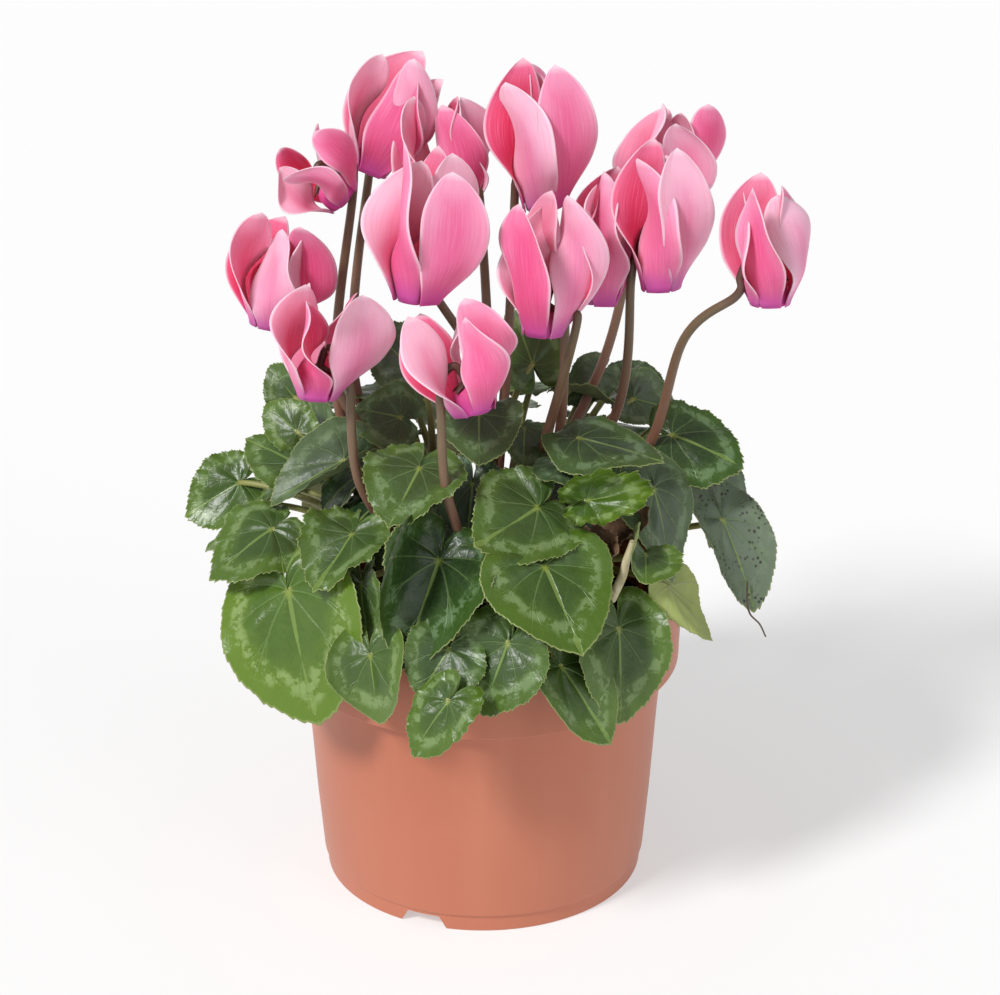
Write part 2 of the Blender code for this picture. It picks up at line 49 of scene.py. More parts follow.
class Wire:
    """A shader value that Python's operators work on; each adds a Math node."""

    def __init__(self, look, socket):
        self.look = look
        self.socket = socket

    def operator(kind, reflected=False):
        def work(self, other=0.0):
            ends = (other, self) if reflected else (self, other)
            return self.look.node("ShaderNodeMath", {"operation": kind}, *ends)
        return work

    __add__, __radd__ = operator("ADD"), operator("ADD", True)
    __sub__, __rsub__ = operator("SUBTRACT"), operator("SUBTRACT", True)
    __mul__, __rmul__ = operator("MULTIPLY"), operator("MULTIPLY", True)
    __truediv__, __rtruediv__ = operator("DIVIDE"), operator("DIVIDE", True)
    __abs__, fraction, top = operator("ABSOLUTE"), operator("FRACT"), operator("MAXIMUM")

    def between(self, low, high):
        """Smooth ramp from 0 at low to 1 at high."""
        return self.look.node("ShaderNodeMapRange", {"interpolation_type": "SMOOTHSTEP"},
                              self, low, high, 0.0, 1.0)


class Look:
    """A procedural material: nodes are added by type, settings and socket values."""

    def __init__(self, name, rough=0.5, **constants):
        self.mat = bpy.data.materials.new(name)
        self.mat.use_nodes = True
        self.tree = self.mat.node_tree
        self.shader = self.tree.nodes["Principled BSDF"]
        self.shader.inputs["Roughness"].default_value = rough
        for socket, value in constants.items():
            self.shader.inputs[socket.replace("_", " ")].default_value = value

    def node(self, kind, settings, *values, out=0, **named):
        node = self.tree.nodes.new(kind)
        for key, value in settings.items():
            setattr(node, key, value)
        for key, value in list(enumerate(values)) + list(named.items()):
            if value is None:
                continue
            socket = node.inputs[key.replace("_", " ") if isinstance(key, str) else key]
            if isinstance(value, Wire):
                self.tree.links.new(value.socket, socket)
            else:
                socket.default_value = value
        return Wire(self, node.outputs[out])

    def place(self):
        return self.node("ShaderNodeTexCoord", {}, out="Object")

    def uv(self, layer):
        both = self.node("ShaderNodeUVMap", {"uv_map": layer})
        u = self.node("ShaderNodeSeparateXYZ", {}, both, out=0)
        v = self.node("ShaderNodeSeparateXYZ", {}, both, out=1)
        return u, v

    def attribute(self, name, out="Fac"):
        return self.node("ShaderNodeAttribute", {"attribute_name": name}, out=out)

    def stretched(self, sizes, at=None):
        return self.node("ShaderNodeMapping", {}, at or self.place(), None, None, sizes)

    def noise(self, scale, detail=3.0, rough=0.55, at=None, warp=0.0):
        return self.node("ShaderNodeTexNoise", {}, Vector=at or self.place(), Scale=scale,
                         Detail=detail, Roughness=rough, Distortion=warp)

    def cells(self, scale, feature="F1"):
        return self.node("ShaderNodeTexVoronoi", {"feature": feature}, Vector=self.place(),
                         Scale=scale)

    def blend(self, mask, low, high):
        """Mix of two colours, which are the seventh and eighth sockets of the Mix node."""
        ends = [end if isinstance(end, Wire) else (*end, 1.0) for end in (low, high)]
        return self.node("ShaderNodeMix", {"data_type": "RGBA"}, mask, *[None] * 5, *ends, out=2)

    def paint(self, tint, *coats):
        """Feed the base colour: a tint, and over it coats of (mask, colour) in order."""
        for mask, colour in coats:
            tint = self.blend(mask, tint, colour)
        self.feed("Base Color", tint)

    def feed(self, socket, wire):
        self.tree.links.new(wire.socket, self.shader.inputs[socket])

    def bump(self, height, strength=0.3, distance=0.0005):
        self.feed("Normal", self.node("ShaderNodeBump", {}, Strength=strength,
                                      Distance=distance, Height=height))


def put(name, data):
    """Link a new object that holds a mesh, a light or a camera."""
    ob = bpy.data.objects.new(name, data)
    bpy.context.scene.collection.objects.link(ob)
    return ob


def piece_from(name, verts, faces, looks, face_look=None):
    """A mesh object at the origin from points in millimetres."""
    mesh = bpy.data.meshes.new(name)
    mesh.from_pydata((np.asarray(verts, float) * MM).tolist(), [], faces)
    for look in looks:
        mesh.materials.append(look.mat)
    if face_look is not None:
        mesh.polygons.foreach_set("material_index", np.asarray(face_look, np.int32))
    mesh.shade_smooth()
    mesh.update()
    return put(name, mesh)


def turned(name, profile, sides, look, finish=None):
    """A closed body of revolution about Z from a profile of (radius, z)."""
    bm = bmesh.new()
    line = [bm.verts.new((r * MM, 0, z * MM)) for r, z in profile]
    for a, b in zip(line, line[1:]):
        bm.edges.new((a, b))
    bmesh.ops.spin(bm, geom=bm.verts[:] + bm.edges[:], cent=(0, 0, 0), axis=(0, 0, 1),
                   angle=math.tau, steps=sides, use_merge=True)
    bmesh.ops.remove_doubles(bm, verts=bm.verts, dist=1e-6)
    bmesh.ops.recalc_face_normals(bm, faces=bm.faces)
    if finish:
        finish(bm)
    mesh = bpy.data.meshes.new(name)
    bm.to_mesh(mesh)
    bm.free()
    mesh.materials.append(look.mat)
    mesh.shade_smooth()
    return put(name, mesh)


def settle(ob):
    """Turn what the modifiers make into the object's plain mesh."""
    dg = bpy.context.evaluated_depsgraph_get()
    mesh = bpy.data.meshes.new_from_object(ob.evaluated_get(dg))
    ob.modifiers.clear()
    ob.data = mesh


def rounded(points, radius):
    """Round the corners of a profile with small arcs."""
    out = [points[0]]
    for a, b, c in zip(points, points[1:], points[2:]):
        a, b, c = Vector(a), Vector(b), Vector(c)
        cut = min(radius, (b - a).length * 0.45, (c - b).length * 0.45)
        start = b + (a - b).normalized() * cut
        end = b + (c - b).normalized() * cut
        for k in range(5):
            t = k / 4
            out.append(tuple(start * (1 - t) ** 2 + b * 2 * t * (1 - t) + end * t * t))
    out.append(points[-1])
    return out


POT_HEIGHT, RIM_RADIUS, RIM_LOW = 100.0, 65.0, 76.0
BODY_TOP, FOOT, WALL, FLOOR_LOW, FLOOR_TOP = 59.1, 52.5, 1.3, 4.5, 6.2
EDGE_ROUND = 0.55
# The three notches in the foot ring: azimuths in degrees, and their outline (across, up)
NOTCHES = (-111.7, 8.3, 128.3)
NOTCH = ((-8.5, -1), (8.5, -1), (5.7, 4.1), (5.1, 4.4), (-5.1, 4.4), (-5.7, 4.1))
DRAINS, DRAIN_RADIUS, DRAIN_RING, DRAIN_MIDDLE = 6, 4, 34, 5.3
profile = rounded([
    (0, FLOOR_LOW), (FOOT - 1.8, FLOOR_LOW), (FOOT - 1.9, 0), (FOOT, 0), (FOOT + 0.2, 5.4),
    (FOOT + 1.1, 6.0), (FOOT + 3.0, 28), (BODY_TOP - 1.6, 58), (BODY_TOP, RIM_LOW),
    (RIM_RADIUS - 0.9, RIM_LOW), (RIM_RADIUS - 0.45, 88), (RIM_RADIUS, POT_HEIGHT),
    (RIM_RADIUS - 1.5, POT_HEIGHT), (RIM_RADIUS - 2.4, RIM_LOW + 1.3),
    (BODY_TOP - WALL, RIM_LOW + 1.3), (FOOT - 0.8, FLOOR_TOP), (0, FLOOR_TOP)], EDGE_ROUND)
terracotta = Look("terracotta_plastic", 0.42, Specular_IOR_Level=0.42)
cloud = terracotta.noise(9, 2)
streak = terracotta.noise(60, 3, at=terracotta.stretched((1, 1, 0.12)))
fleck = terracotta.noise(1400, 2)
dust = terracotta.noise(35, 5, 0.65, warp=1.5).between(0.6, 0.8)
terracotta.paint((0.430, 0.134, 0.074), (cloud.between(0.3, 0.7), (0.480, 0.158, 0.090)),
                 (streak.between(0.45, 0.8) * 0.35, (0.520, 0.190, 0.115)),
                 (dust * 0.18, (0.46, 0.30, 0.22)))
terracotta.feed("Roughness", 0.38 + fleck * 0.06 + dust * 0.2)
terracotta.bump(fleck * 0.25 + streak * 0.5, 0.12, 0.0002)

pot = turned("pot_shell", profile, 160, terracotta)
cutter_bm = bmesh.new()
for azimuth in NOTCHES:
    a = math.radians(azimuth)
    out, side = Vector((math.cos(a), math.sin(a), 0)), Vector((-math.sin(a), math.cos(a), 0))
    inner, outer = ([cutter_bm.verts.new((out * r + side * y + Vector((0, 0, z))) * MM)
                     for y, z in NOTCH] for r in (FOOT - 6, FOOT + 6))
    cutter_bm.faces.new(inner)
    cutter_bm.faces.new(outer[::-1])
    for i in range(len(NOTCH)):
        j = (i + 1) % len(NOTCH)
        cutter_bm.faces.new((inner[j], inner[i], outer[i], outer[j]))
for i in range(DRAINS):
    a = math.tau * (i + 0.5) / DRAINS
    made = bmesh.ops.create_cone(cutter_bm, cap_ends=True, segments=28, depth=6 * MM,
                                 radius1=DRAIN_RADIUS * MM, radius2=DRAIN_RADIUS * MM)
    middle = Vector((DRAIN_RING * math.cos(a), DRAIN_RING * math.sin(a), DRAIN_MIDDLE))
    bmesh.ops.translate(cutter_bm, verts=made["verts"], vec=middle * MM)
bmesh.ops.recalc_face_normals(cutter_bm, faces=cutter_bm.faces)
cutter_mesh = bpy.data.meshes.new("drain_cutter")
cutter_bm.to_mesh(cutter_mesh)
cutter = put("drain_cutter", cutter_mesh)
drain = pot.modifiers.new("drain", "BOOLEAN")
drain.operation = "DIFFERENCE"
drain.solver = "EXACT"
drain.object = cutter
settle(pot)
bpy.data.objects.remove(cutter)
bpy.context.view_layer.objects.active = pot
pot.data.set_sharp_from_angle(angle=math.radians(35))
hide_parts("pot", "pot_rim")
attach(pot, "root")


# ---------------------------------------------------------------- potting soil
# Moist dark peat mix, poured in to a thumb's width below the rim and pressed down round
# the tuber. Crumbs of it lie loose on its top.

SOIL_TOP, TUBER_RADIUS = 84.0, 26.5
rng = np.random.default_rng(11)


def soil_lumps(bm):
    for v in bm.verts:
        r = math.hypot(v.co.x, v.co.y) / MM
        if v.co.z > (SOIL_TOP - 5) * MM and r > TUBER_RADIUS + 1:
            x, y = v.co.x * 1000, v.co.y * 1000
            lump = math.sin(x * 0.31 + 2) * math.cos(y * 0.27) + math.sin(x * 0.7 + y * 0.5)
            fade = min(1.0, (RIM_RADIUS - 2.6 - r) / 3, (r - TUBER_RADIUS - 1) / 3)
            v.co.z += (0.7 * lump + rng.uniform(-0.5, 0.5)) * max(fade, 0) * MM


soil_line = [(0, 6.6), (FOOT - 1.4, 6.6), (BODY_TOP - WALL - 0.4, 77.8), (RIM_RADIUS - 2.9, 77.9)]
soil_line += [(RIM_RADIUS - 2.7, 80.5)]
soil_line += [(RIM_RADIUS - 2.7 - k * 1.4, SOIL_TOP - 2.5 + 2.5 * min(1, k / 6))
              for k in range(1, 25)]
soil_line += [(TUBER_RADIUS + 0.4, SOIL_TOP), (TUBER_RADIUS + 0.4, 76), (20, 70.8), (0, 70.2)]
peat = Look("peat_mix", 0.95, Specular_IOR_Level=0.2)
grain = peat.noise(420, 5, 0.7)
patch = peat.noise(60, 3)
peat.paint((0.006, 0.005, 0.0045), (grain.between(0.45, 0.75), (0.035, 0.022, 0.014)))
peat.feed("Roughness", 0.85 + patch * 0.12)
peat.bump(grain + patch, 0.9, 0.0012)
soil = turned("soil_fill", soil_line, 120, peat, soil_lumps)
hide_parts("potting_soil")
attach(soil, "root")

crumb_look = Look("soil_crumbs", 0.9, Specular_IOR_Level=0.2)
speck = crumb_look.noise(300, 4, 0.6)
crumb_look.paint((0.008, 0.006, 0.005), (speck.between(0.4, 0.7), (0.060, 0.034, 0.020)))
crumb_look.bump(speck, 0.7, 0.0006)


def new_tree(name, inputs):
    """A Geometry Nodes tree that takes a mesh and named numbers, with its two makers."""
    tree = bpy.data.node_groups.new(name, "GeometryNodeTree")
    face = tree.interface
    face.new_socket("Geometry", in_out="INPUT", socket_type="NodeSocketGeometry")
    for label, (kind, value) in inputs.items():
        made = face.new_socket(label, in_out="INPUT", socket_type="NodeSocket" + kind)
        made.default_value = value
    face.new_socket("Geometry", in_out="OUTPUT", socket_type="NodeSocketGeometry")
    add, link = tree.nodes.new, tree.links.new
    return tree, add, link, add("NodeGroupInput").outputs


def close_tree(add, link, made, look):
    """Realise and paint what the tree made, and hand it out."""
    real, paint = add("GeometryNodeRealizeInstances"), add("GeometryNodeSetMaterial")
    paint.inputs["Material"].default_value = look.mat
    link(made, real.inputs["Geometry"])
    link(real.outputs["Geometry"], paint.inputs["Geometry"])
    link(paint.outputs["Geometry"], add("NodeGroupOutput").inputs["Geometry"])


def crumb_tree():
    """Scatter angular crumbs on a flat ring of ground."""
    tree, add, link, given = new_tree("crumbs", {
        "Density": ("Float", 1.0), "Smallest": ("Float", 0.4), "Largest": ("Float", 1.0),
        "Seed": ("Int", 1)})
    points = add("GeometryNodeDistributePointsOnFaces")
    link(given["Geometry"], points.inputs["Mesh"])
    link(given["Density"], points.inputs["Density"])
    link(given["Seed"], points.inputs["Seed"])
    lump = add("GeometryNodeMeshIcoSphere")
    lump.inputs["Radius"].default_value = MM
    lump.inputs["Subdivisions"].default_value = 1
    copies = add("GeometryNodeInstanceOnPoints")
    size, turn = add("FunctionNodeRandomValue"), add("FunctionNodeRandomValue")
    size.data_type = turn.data_type = "FLOAT_VECTOR"
    turn.inputs["Max"].default_value = (6.28, 6.28, 6.28)
    link(given["Smallest"], size.inputs["Min"])
    link(given["Largest"], size.inputs["Max"])
    link(given["Seed"], size.inputs["Seed"])
    link(points.outputs["Points"], copies.inputs["Points"])
    link(lump.outputs["Mesh"], copies.inputs["Instance"])
    link(size.outputs["Value"], copies.inputs["Scale"])
    link(turn.outputs["Value"], copies.inputs["Rotation"])
    close_tree(add, link, copies.outputs["Instances"], crumb_look)
    return tree


def set_inputs(modifier, **values):
    for item in modifier.node_group.interface.items_tree:
        if item.in_out == "INPUT" and item.name in values:
            modifier[item.identifier] = values[item.name]


bed = bmesh.new()
BED_SIDES = 48
rings = [[bed.verts.new((r * MM * math.cos(a), r * MM * math.sin(a), (SOIL_TOP + 0.2) * MM))
          for a in np.linspace(0, math.tau, BED_SIDES, endpoint=False)]
         for r in (TUBER_RADIUS + 2, 44, RIM_RADIUS - 5)]
for lo, hi in zip(rings, rings[1:]):
    for i in range(BED_SIDES):
        j = (i + 1) % BED_SIDES
        bed.faces.new((lo[i], hi[i], hi[j], lo[j]))
bed_mesh = bpy.data.meshes.new("soil_crumbs")
bed.to_mesh(bed_mesh)
crumbs = put("soil_crumbs", bed_mesh)
scatter = crumbs.modifiers.new("crumbs", "NODES")
scatter.node_group = crumb_tree()
set_inputs(scatter, Density=170000.0, Smallest=0.35, Largest=1.5, Seed=4)
settle(crumbs)
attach(crumbs, "root")


# ---------------------------------------------------------------- tuber
# The plant's flattened corky tuber, sunk to its shoulders in the soil. Every leaf and
# flower stem rises from its crown.

TUBER_TOP = 93.0
# Radius and height along the crown
CROWN = ((0, TUBER_TOP), (8, TUBER_TOP - 0.4), (18, TUBER_TOP - 1.6), (24, TUBER_TOP - 4.2))


def tuber_height(r):
    return float(np.interp(r, [p[0] for p in CROWN], [p[1] for p in CROWN]))


def tuber_lumps(bm):
    for v in bm.verts:
        if v.co.z > SOIL_TOP * MM:
            x, y = v.co.x * 1000, v.co.y * 1000
            v.co.z += 0.25 * math.sin(x * 0.9 + 1) * math.sin(y * 0.8) * MM


cork = Look("corky_skin", 0.85, Specular_IOR_Level=0.25)
scale = cork.cells(230)
ridge = cork.noise(150, 5, 0.65)
cork.paint((0.035, 0.020, 0.013), (ridge.between(0.35, 0.7), (0.12, 0.075, 0.045)))
cork.feed("Roughness", 0.75 + scale * 0.2)
cork.bump(ridge + scale, 0.9, 0.0010)
tuber_line = [(0, 70.6), (19.8, 71.2), (26.4, 76.3), (26.5, 83), (26.1, 86.6)]
tuber_line += [(r, tuber_height(r)) for r in (24, 21, 18, 13, 8, 4, 0)]
tuber = turned("tuber_body", tuber_line, 72, cork, tuber_lumps)
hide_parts("tuber")
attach(tuber, "root")


# ---------------------------------------------------------------- flower stalks
# Smooth fleshy stalks, one to a flower, reddish brown low down and olive above. Each
# bends over in a crook at its top, painted near-black there as shade under the flower,
# and ends in a small brown calyx of five sepals.

# Flowers, in millimetres and degrees: name, centre of the mouth, axis from mouth to petal
# tips, petal length, petal width, outward lean, twist, side the stalk rises on, waypoints
FLOWERS = (
    ("a", (-36, 22, 233), (0.42, 0.1, 1), 39, 19, 1, 35, 90, ((-41, 19, 160),)),
    ("b", (-43, 6, 229), (-0.9, -0.1, 0.9), 24, 12, 14, 25, 20, ((-46, 8, 157),)),
    ("c", (-20, -32, 209), (0.12, 0.15, 1), 47, 21, 5.5, 35, 60, ((3, -10, 168),)),
    ("d", (-10, 12, 221), (-0.05, 0.2, 1), 38, 18, 5, 30, -20, ((2, 4, 165),)),
    ("e", (19, 0, 228), (-0.12, 0.1, 1), 46, 20, 3, 30, 150, ((8, 6, 180),)),
    ("f", (-67, -5, 191), (0.20, 0.1, 1), 35, 18, 3, 35, 20, ((-43, -5, 164),)),
    ("g", (-50, -38, 180), (0.05, 0.15, 1), 35, 19, 9, 55, 20,
     ((-24, -22, 122), (-38, -37, 152))),
    ("h", (-2, -50, 180), (-0.25, 0.2, 1), 34, 16.5, 9, 60, 190,
     ((-5, -44, 130), (-11, -55, 158))),
    ("i", (18, -34, 199), (0.08, 0.15, 1), 43, 18, 1, 30, 0, ((18, -18, 152),)),
    ("j", (36, -8, 200), (0.10, 0.1, 1), 42, 18, 4, 25, 180, ((24, -6, 153),)),
    ("k", (55, -15, 207), (-0.06, 0.1, 1), 46, 19, 0.5, 35, 150, ((42, -5, 161),)),
    ("l", (59, 22, 220), (0.05, 0.1, 1), 34, 17, 4, 25, 190, ((39, 16, 172),)),
    ("m", (86, -45, 213), (-0.02, 0.1, 1), 37, 18, 4, 25, 162,
     ((50, -11, 148), (61.5, -32, 197))),
)
# The crook of a small flower, as a share of the usual size
SMALL_CROOK = {"b": 0.6}
STALK_RADIUS, STALK_TIP, CALYX_HEIGHT = 1.95, 1.25, 9.6
# Rings of the crown that flower stalks, inner leaves and outer leaves rise from
FLOWER_RING, MIDDLE_RING, OUTER_RING = 11.0, 17.0, 23.0


def crown_places(items, ring):
    """Share a ring of the crown evenly, in the order of the stems' directions."""
    order = sorted(items, key=lambda it: math.atan2(it[1].y, it[1].x))
    n = len(order)
    mean = sum(math.atan2(v.y, v.x) - math.tau * i / n for i, (_, v) in enumerate(order)) / n
    z = tuber_height(max(ring - 1.5, 0)) + 0.1
    return {name: Vector((ring * math.cos(mean + math.tau * i / n),
                          ring * math.sin(mean + math.tau * i / n), z))
            for i, (name, _) in enumerate(order)}


def spline(points, steps):
    """Smooth curve through the points."""
    pts = [points[0] * 2 - points[1], *points, points[-1] * 2 - points[-2]]
    out = []
    for i in range(1, len(pts) - 2):
        a, b, c, d = pts[i - 1:i + 3]
        for k in range(steps):
            t = k / steps
            out.append(0.5 * (b * 2 + (c - a) * t + (a * 2 - b * 5 + c * 4 - d) * t * t
                              + (b * 3 - a - c * 3 + d) * t ** 3))
    out.append(points[-1])
    return out


def flower_frame(axis, side):
    """The flower's axis, the direction of its stalk's side, and the third one."""
    w = Vector(axis).normalized()
    a = math.radians(side)
    e = Vector((math.cos(a), math.sin(a), 0))
    e = (e - w * e.dot(w)).normalized()
    return w, e, w.cross(e)


def stem_tree(look):
    """A tapering round stem along a line of points, with how far along it is kept."""
    tree, add, link, given = new_tree("stem", {
        "Base Radius": ("Float", 0.002), "Tip Radius": ("Float", 0.001), "Sides": ("Int", 14)})
    curve, where, taper = (add("GeometryNodeMeshToCurve"), add("GeometryNodeSplineParameter"),
                           add("ShaderNodeMapRange"))
    keep = add("GeometryNodeStoreNamedAttribute")
    keep.inputs["Name"].default_value = "along"
    link(given["Geometry"], curve.inputs["Mesh"])
    link(curve.outputs["Curve"], keep.inputs["Geometry"])
    link(where.outputs["Factor"], keep.inputs["Value"])
    link(where.outputs["Factor"], taper.inputs["Value"])
    link(given["Base Radius"], taper.inputs["To Min"])
    link(given["Tip Radius"], taper.inputs["To Max"])
    ring, body = add("GeometryNodeCurvePrimitiveCircle"), add("GeometryNodeCurveToMesh")
    ring.inputs["Radius"].default_value = 1.0
    link(given["Sides"], ring.inputs["Resolution"])
    link(keep.outputs["Geometry"], body.inputs["Curve"])
    link(ring.outputs["Curve"], body.inputs["Profile Curve"])
    link(taper.outputs["Result"], body.inputs["Scale"])
    body.inputs["Fill Caps"].default_value = True
    close_tree(add, link, body.outputs["Mesh"], look)
    return tree


def stem_piece(name, points, steps, group, radius, tip, sides):
    """A smooth stem along the curve through the points, with that many steps to a stretch."""
    line = [tuple(p * MM) for p in spline(points, steps)]
    mesh = bpy.data.meshes.new(name)
    mesh.from_pydata(line, [(i, i + 1) for i in range(len(line) - 1)], [])
    stem = put(name, mesh)
    grow = stem.modifiers.new("stem", "NODES")
    grow.node_group = group
    set_inputs(grow, **{"Base Radius": radius * MM, "Tip Radius": tip * MM, "Sides": sides})
    settle(stem)
    stem.data.shade_smooth()
    return stem


stalk_skin = Look("stalk_skin", 0.42, Subsurface_Weight=0.05, Subsurface_Scale=0.002)
height = stalk_skin.attribute("along")
grain = stalk_skin.noise(500, 3, at=stalk_skin.stretched((1, 1, 0.15)))
# The crook just below the calyx is painted near-black: painted shade under the flower.
stalk_skin.paint((0.230, 0.100, 0.066), (height.between(0.35, 0.85), (0.125, 0.088, 0.045)),
                 (height.between(0.80, 0.92) * 0.85, (0.075, 0.022, 0.022)),
                 (grain.between(0.5, 0.8) * 0.35, (0.22, 0.125, 0.080)))
stalk_skin.feed("Roughness", 0.34 + grain * 0.2)
stalk_skin.bump(grain, 0.25, 0.0003)
stem_group = stem_tree(stalk_skin)
sepal_skin = Look("sepal_skin", 0.5)
vein = sepal_skin.noise(400, 3)
sepal_skin.paint((0.060, 0.028, 0.020), (vein.between(0.35, 0.7), (0.12, 0.085, 0.040)))
sepal_skin.bump(vein, 0.3, 0.0003)


def sepals(bm, mouth, w, e, f, slot):
    """Five pointed sepals, spread like a star on top of the corolla's tube."""
    steps = 8
    around = 5 * steps
    centre = mouth + w * CALYX_HEIGHT
    top, under = (bm.verts.new((centre + w * lift) * MM) for lift in (1.8, -0.5))
    upper, lower = [], []
    for i in range(around):
        a = math.tau * i / around
        point = abs((i % steps - steps / 2) / (steps / 2))
        r = 2.3 + 3.4 * (1 - point) ** 1.3
        for ring, lift in ((upper, 0.45), (lower, 0.0)):
            p = centre + (e * math.cos(a) + f * math.sin(a)) * r + w * (lift - 0.07 * r * r)
            ring.append(bm.verts.new(p * MM))
    for i in range(around):
        j = (i + 1) % around
        for corners in ((top, upper[i], upper[j]), (under, lower[j], lower[i]),
                        (upper[j], upper[i], lower[i], lower[j])):
            face = bm.faces.new(corners)
            face.material_index = slot
            face.smooth = True


places = crown_places([(row[0], Vector(row[8][0])) for row in FLOWERS], FLOWER_RING)
for key, mouth, axis, length, width, lean, twist, side, waypoints in FLOWERS:
    w, e, f = flower_frame(axis, side)
    mouth = Vector(mouth)
    base = places[key]
    hook = SMALL_CROOK.get(key, 1.0)
    points = [base, base + Vector((0, 0, 12)) + (Vector(waypoints[0]) - base) * 0.1]
    points += [Vector(p) for p in waypoints]
    points += [mouth + (e * 10.2 + w * 2) * hook, mouth + (e * 9 + w * 8) * hook,
               mouth + e * 6.2 * hook + w * (9.4 + 4.6 * hook),
               mouth + e * 2.2 * hook + w * (9.4 + 5.8 * hook), mouth + w * 9.4]
    stalk = stem_piece("flower_stalk_" + key, points, 14, stem_group, STALK_RADIUS, STALK_TIP, 14)
    bm = bmesh.new()
    bm.from_mesh(stalk.data)
    sepals(bm, mouth, w, e, f, len(stalk.data.materials))
    bmesh.ops.recalc_face_normals(bm, faces=bm.faces)
    bm.to_mesh(stalk.data)
    bm.free()
    stalk.data.materials.append(sepal_skin.mat)
    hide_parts("stalk_" + key)
    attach(stalk, "root")


# ---------------------------------------------------------------- flowers
# Each corolla is one soft piece: a short round tube whose mouth looks down, and five
# long petals that fold back from its rim and stand up, each turned on itself. They are
# pale pink with white edges, crimson inside, deepened there by painted shade, and magenta
# round the mouth.

petal_skin = Look("petal_skin", 0.55, Subsurface_Weight=0.25, Subsurface_Scale=0.004,
                  Sheen_Weight=0.06, Sheen_Roughness=0.4, Specular_IOR_Level=0.25)
petal_skin.shader.inputs["Subsurface Radius"].default_value = (1.0, 0.35, 0.35)
across, along = petal_skin.uv("petal")
inner = petal_skin.attribute("inner")
soft = petal_skin.noise(55, 3)
streak = petal_skin.noise(1.0, 4, 0.6, at=petal_skin.node(
    "ShaderNodeMapping", {}, petal_skin.node("ShaderNodeUVMap", {"uv_map": "petal"}), None,
    None, (60, 2.6, 1)))
edge = abs(across * 2 - 1)
rim = edge.top(along.between(0.6, 1.0) * 0.98)
light = petal_skin.attribute("light")
# Inner faces are deeper crimson: partly the petal's own colour, partly painted shade on the faces turned
# inwards.
deep = petal_skin.blend(inner, (0.74, 0.085, 0.235), (0.66, 0.014, 0.080))
pale = petal_skin.blend(inner, (0.86, 0.245, 0.420), (0.80, 0.115, 0.260))
deep = petal_skin.blend(light * 0.6, deep, (0.84, 0.28, 0.47))
pale = petal_skin.blend(light * 0.7, pale, (0.90, 0.58, 0.69))
fade = (rim * 0.55 + along * 0.5 + soft * 0.4 + light * 0.4 - 0.46).between(0.1, 0.95)
petal_skin.paint(
    petal_skin.blend(fade, deep, pale), (streak.between(0.48, 0.75) * 0.3, (0.88, 0.44, 0.60)),
    ((1 - streak.between(0.28, 0.5)) * 0.3, (0.62, 0.035, 0.17)),
    ((1 - (along + (soft - 0.5) * 0.08).between(-0.02, 0.19)) * 0.85, (0.50, 0.060, 0.33)),
    (rim.between(0.88, 1.0) * along.between(0.06, 0.2) * 0.6, (0.93, 0.70, 0.79)),
    (petal_skin.attribute("throat"), (0.16, 0.012, 0.06)))
petal_skin.feed("Roughness", 0.56 + soft * 0.12)
petal_skin.bump(streak * 0.8 + soft * 0.4, 0.22, 0.0004)

PETALS, ROWS, COLS = 5, 28, 17
PETAL_THICK, PETAL_FOOT, PETAL_WIDEST = 0.42, 0.36, 0.52


def petal_half(s):
    """Half width of a petal along its length, 1 at its widest."""
    rise = np.sin(np.clip(s / PETAL_WIDEST, 0, 1) * math.pi / 2) ** 1.3
    low = PETAL_FOOT + (1 - PETAL_FOOT) * rise
    t = np.clip((s - PETAL_WIDEST) / (1 - PETAL_WIDEST), 0, 1)
    return low * (1 - t ** 2.2) ** 0.72


def petal_sheet(mouth, w, radial, tang, length, width, lean, twist, wave):
    """Points of the two faces of one petal: s runs to its tip, c across it."""
    s = np.linspace(0, 1, ROWS)[:, None, None] ** 0.92
    c = np.linspace(-1, 1, COLS)[None, :, None]
    radial, tang, w, mouth = (np.array(v) for v in (radial, tang, w, mouth))
    half = petal_half(s)
    rise = np.clip(s / 0.34, 0, 1)
    rise = rise * rise * (3 - 2 * rise)
    out = 5.9 + 2.4 * rise + length * math.sin(math.radians(lean)) * s
    out = out + 1.6 * np.sin(s * math.pi) - 4.5 * s * s
    turn = np.clip(s / 0.75, 0, 1)
    turn = math.radians(twist) * turn * turn * (3 - 2 * turn)
    side = tang * np.cos(turn) + radial * np.sin(turn)
    face = radial * np.cos(turn) - tang * np.sin(turn)
    sway = 3.4 * math.sin(2.2 * wave) * np.sin(s * math.pi * 0.9) - 3.4 * s ** 3
    mid = mouth + radial * out + tang * sway + w * (0.1 + (length - 1.5) * s)
    cup = 0.4 + 2.3 * math.sin(wave * 1.3 + 0.6)
    bow = -(1.3 * (1 - s) + cup * s) * c * c * half * 1.3
    bow = bow + 2.4 * np.sin(5.5 * s + wave) * c * np.clip(s * 3, 0, 1) * half
    bow = bow + 0.9 * np.sin(9 * s + 2 * wave) * c * c * half
    bow = bow + 1.5 * np.abs(c) ** 4 * half * np.cos(1.7 * wave + 2.5 * s)
    bow = bow + 4.5 * s ** 4 * math.cos(wave)
    lift = np.where(half < 0.5, half / 0.5, 1.0) * PETAL_THICK / 2
    spread = side * c * half * width / 2
    return (mid + spread + face * (bow + lift)), (mid + spread + face * (bow - lift))


def add_points(store, points, uv, inner, throat, light):
    """Keep points with the values that the petal's look reads there."""
    store["verts"] += points
    store["uv"] += uv
    for label, value in (("inner", inner), ("throat", throat), ("light", light)):
        store[label] += [value] * len(points)


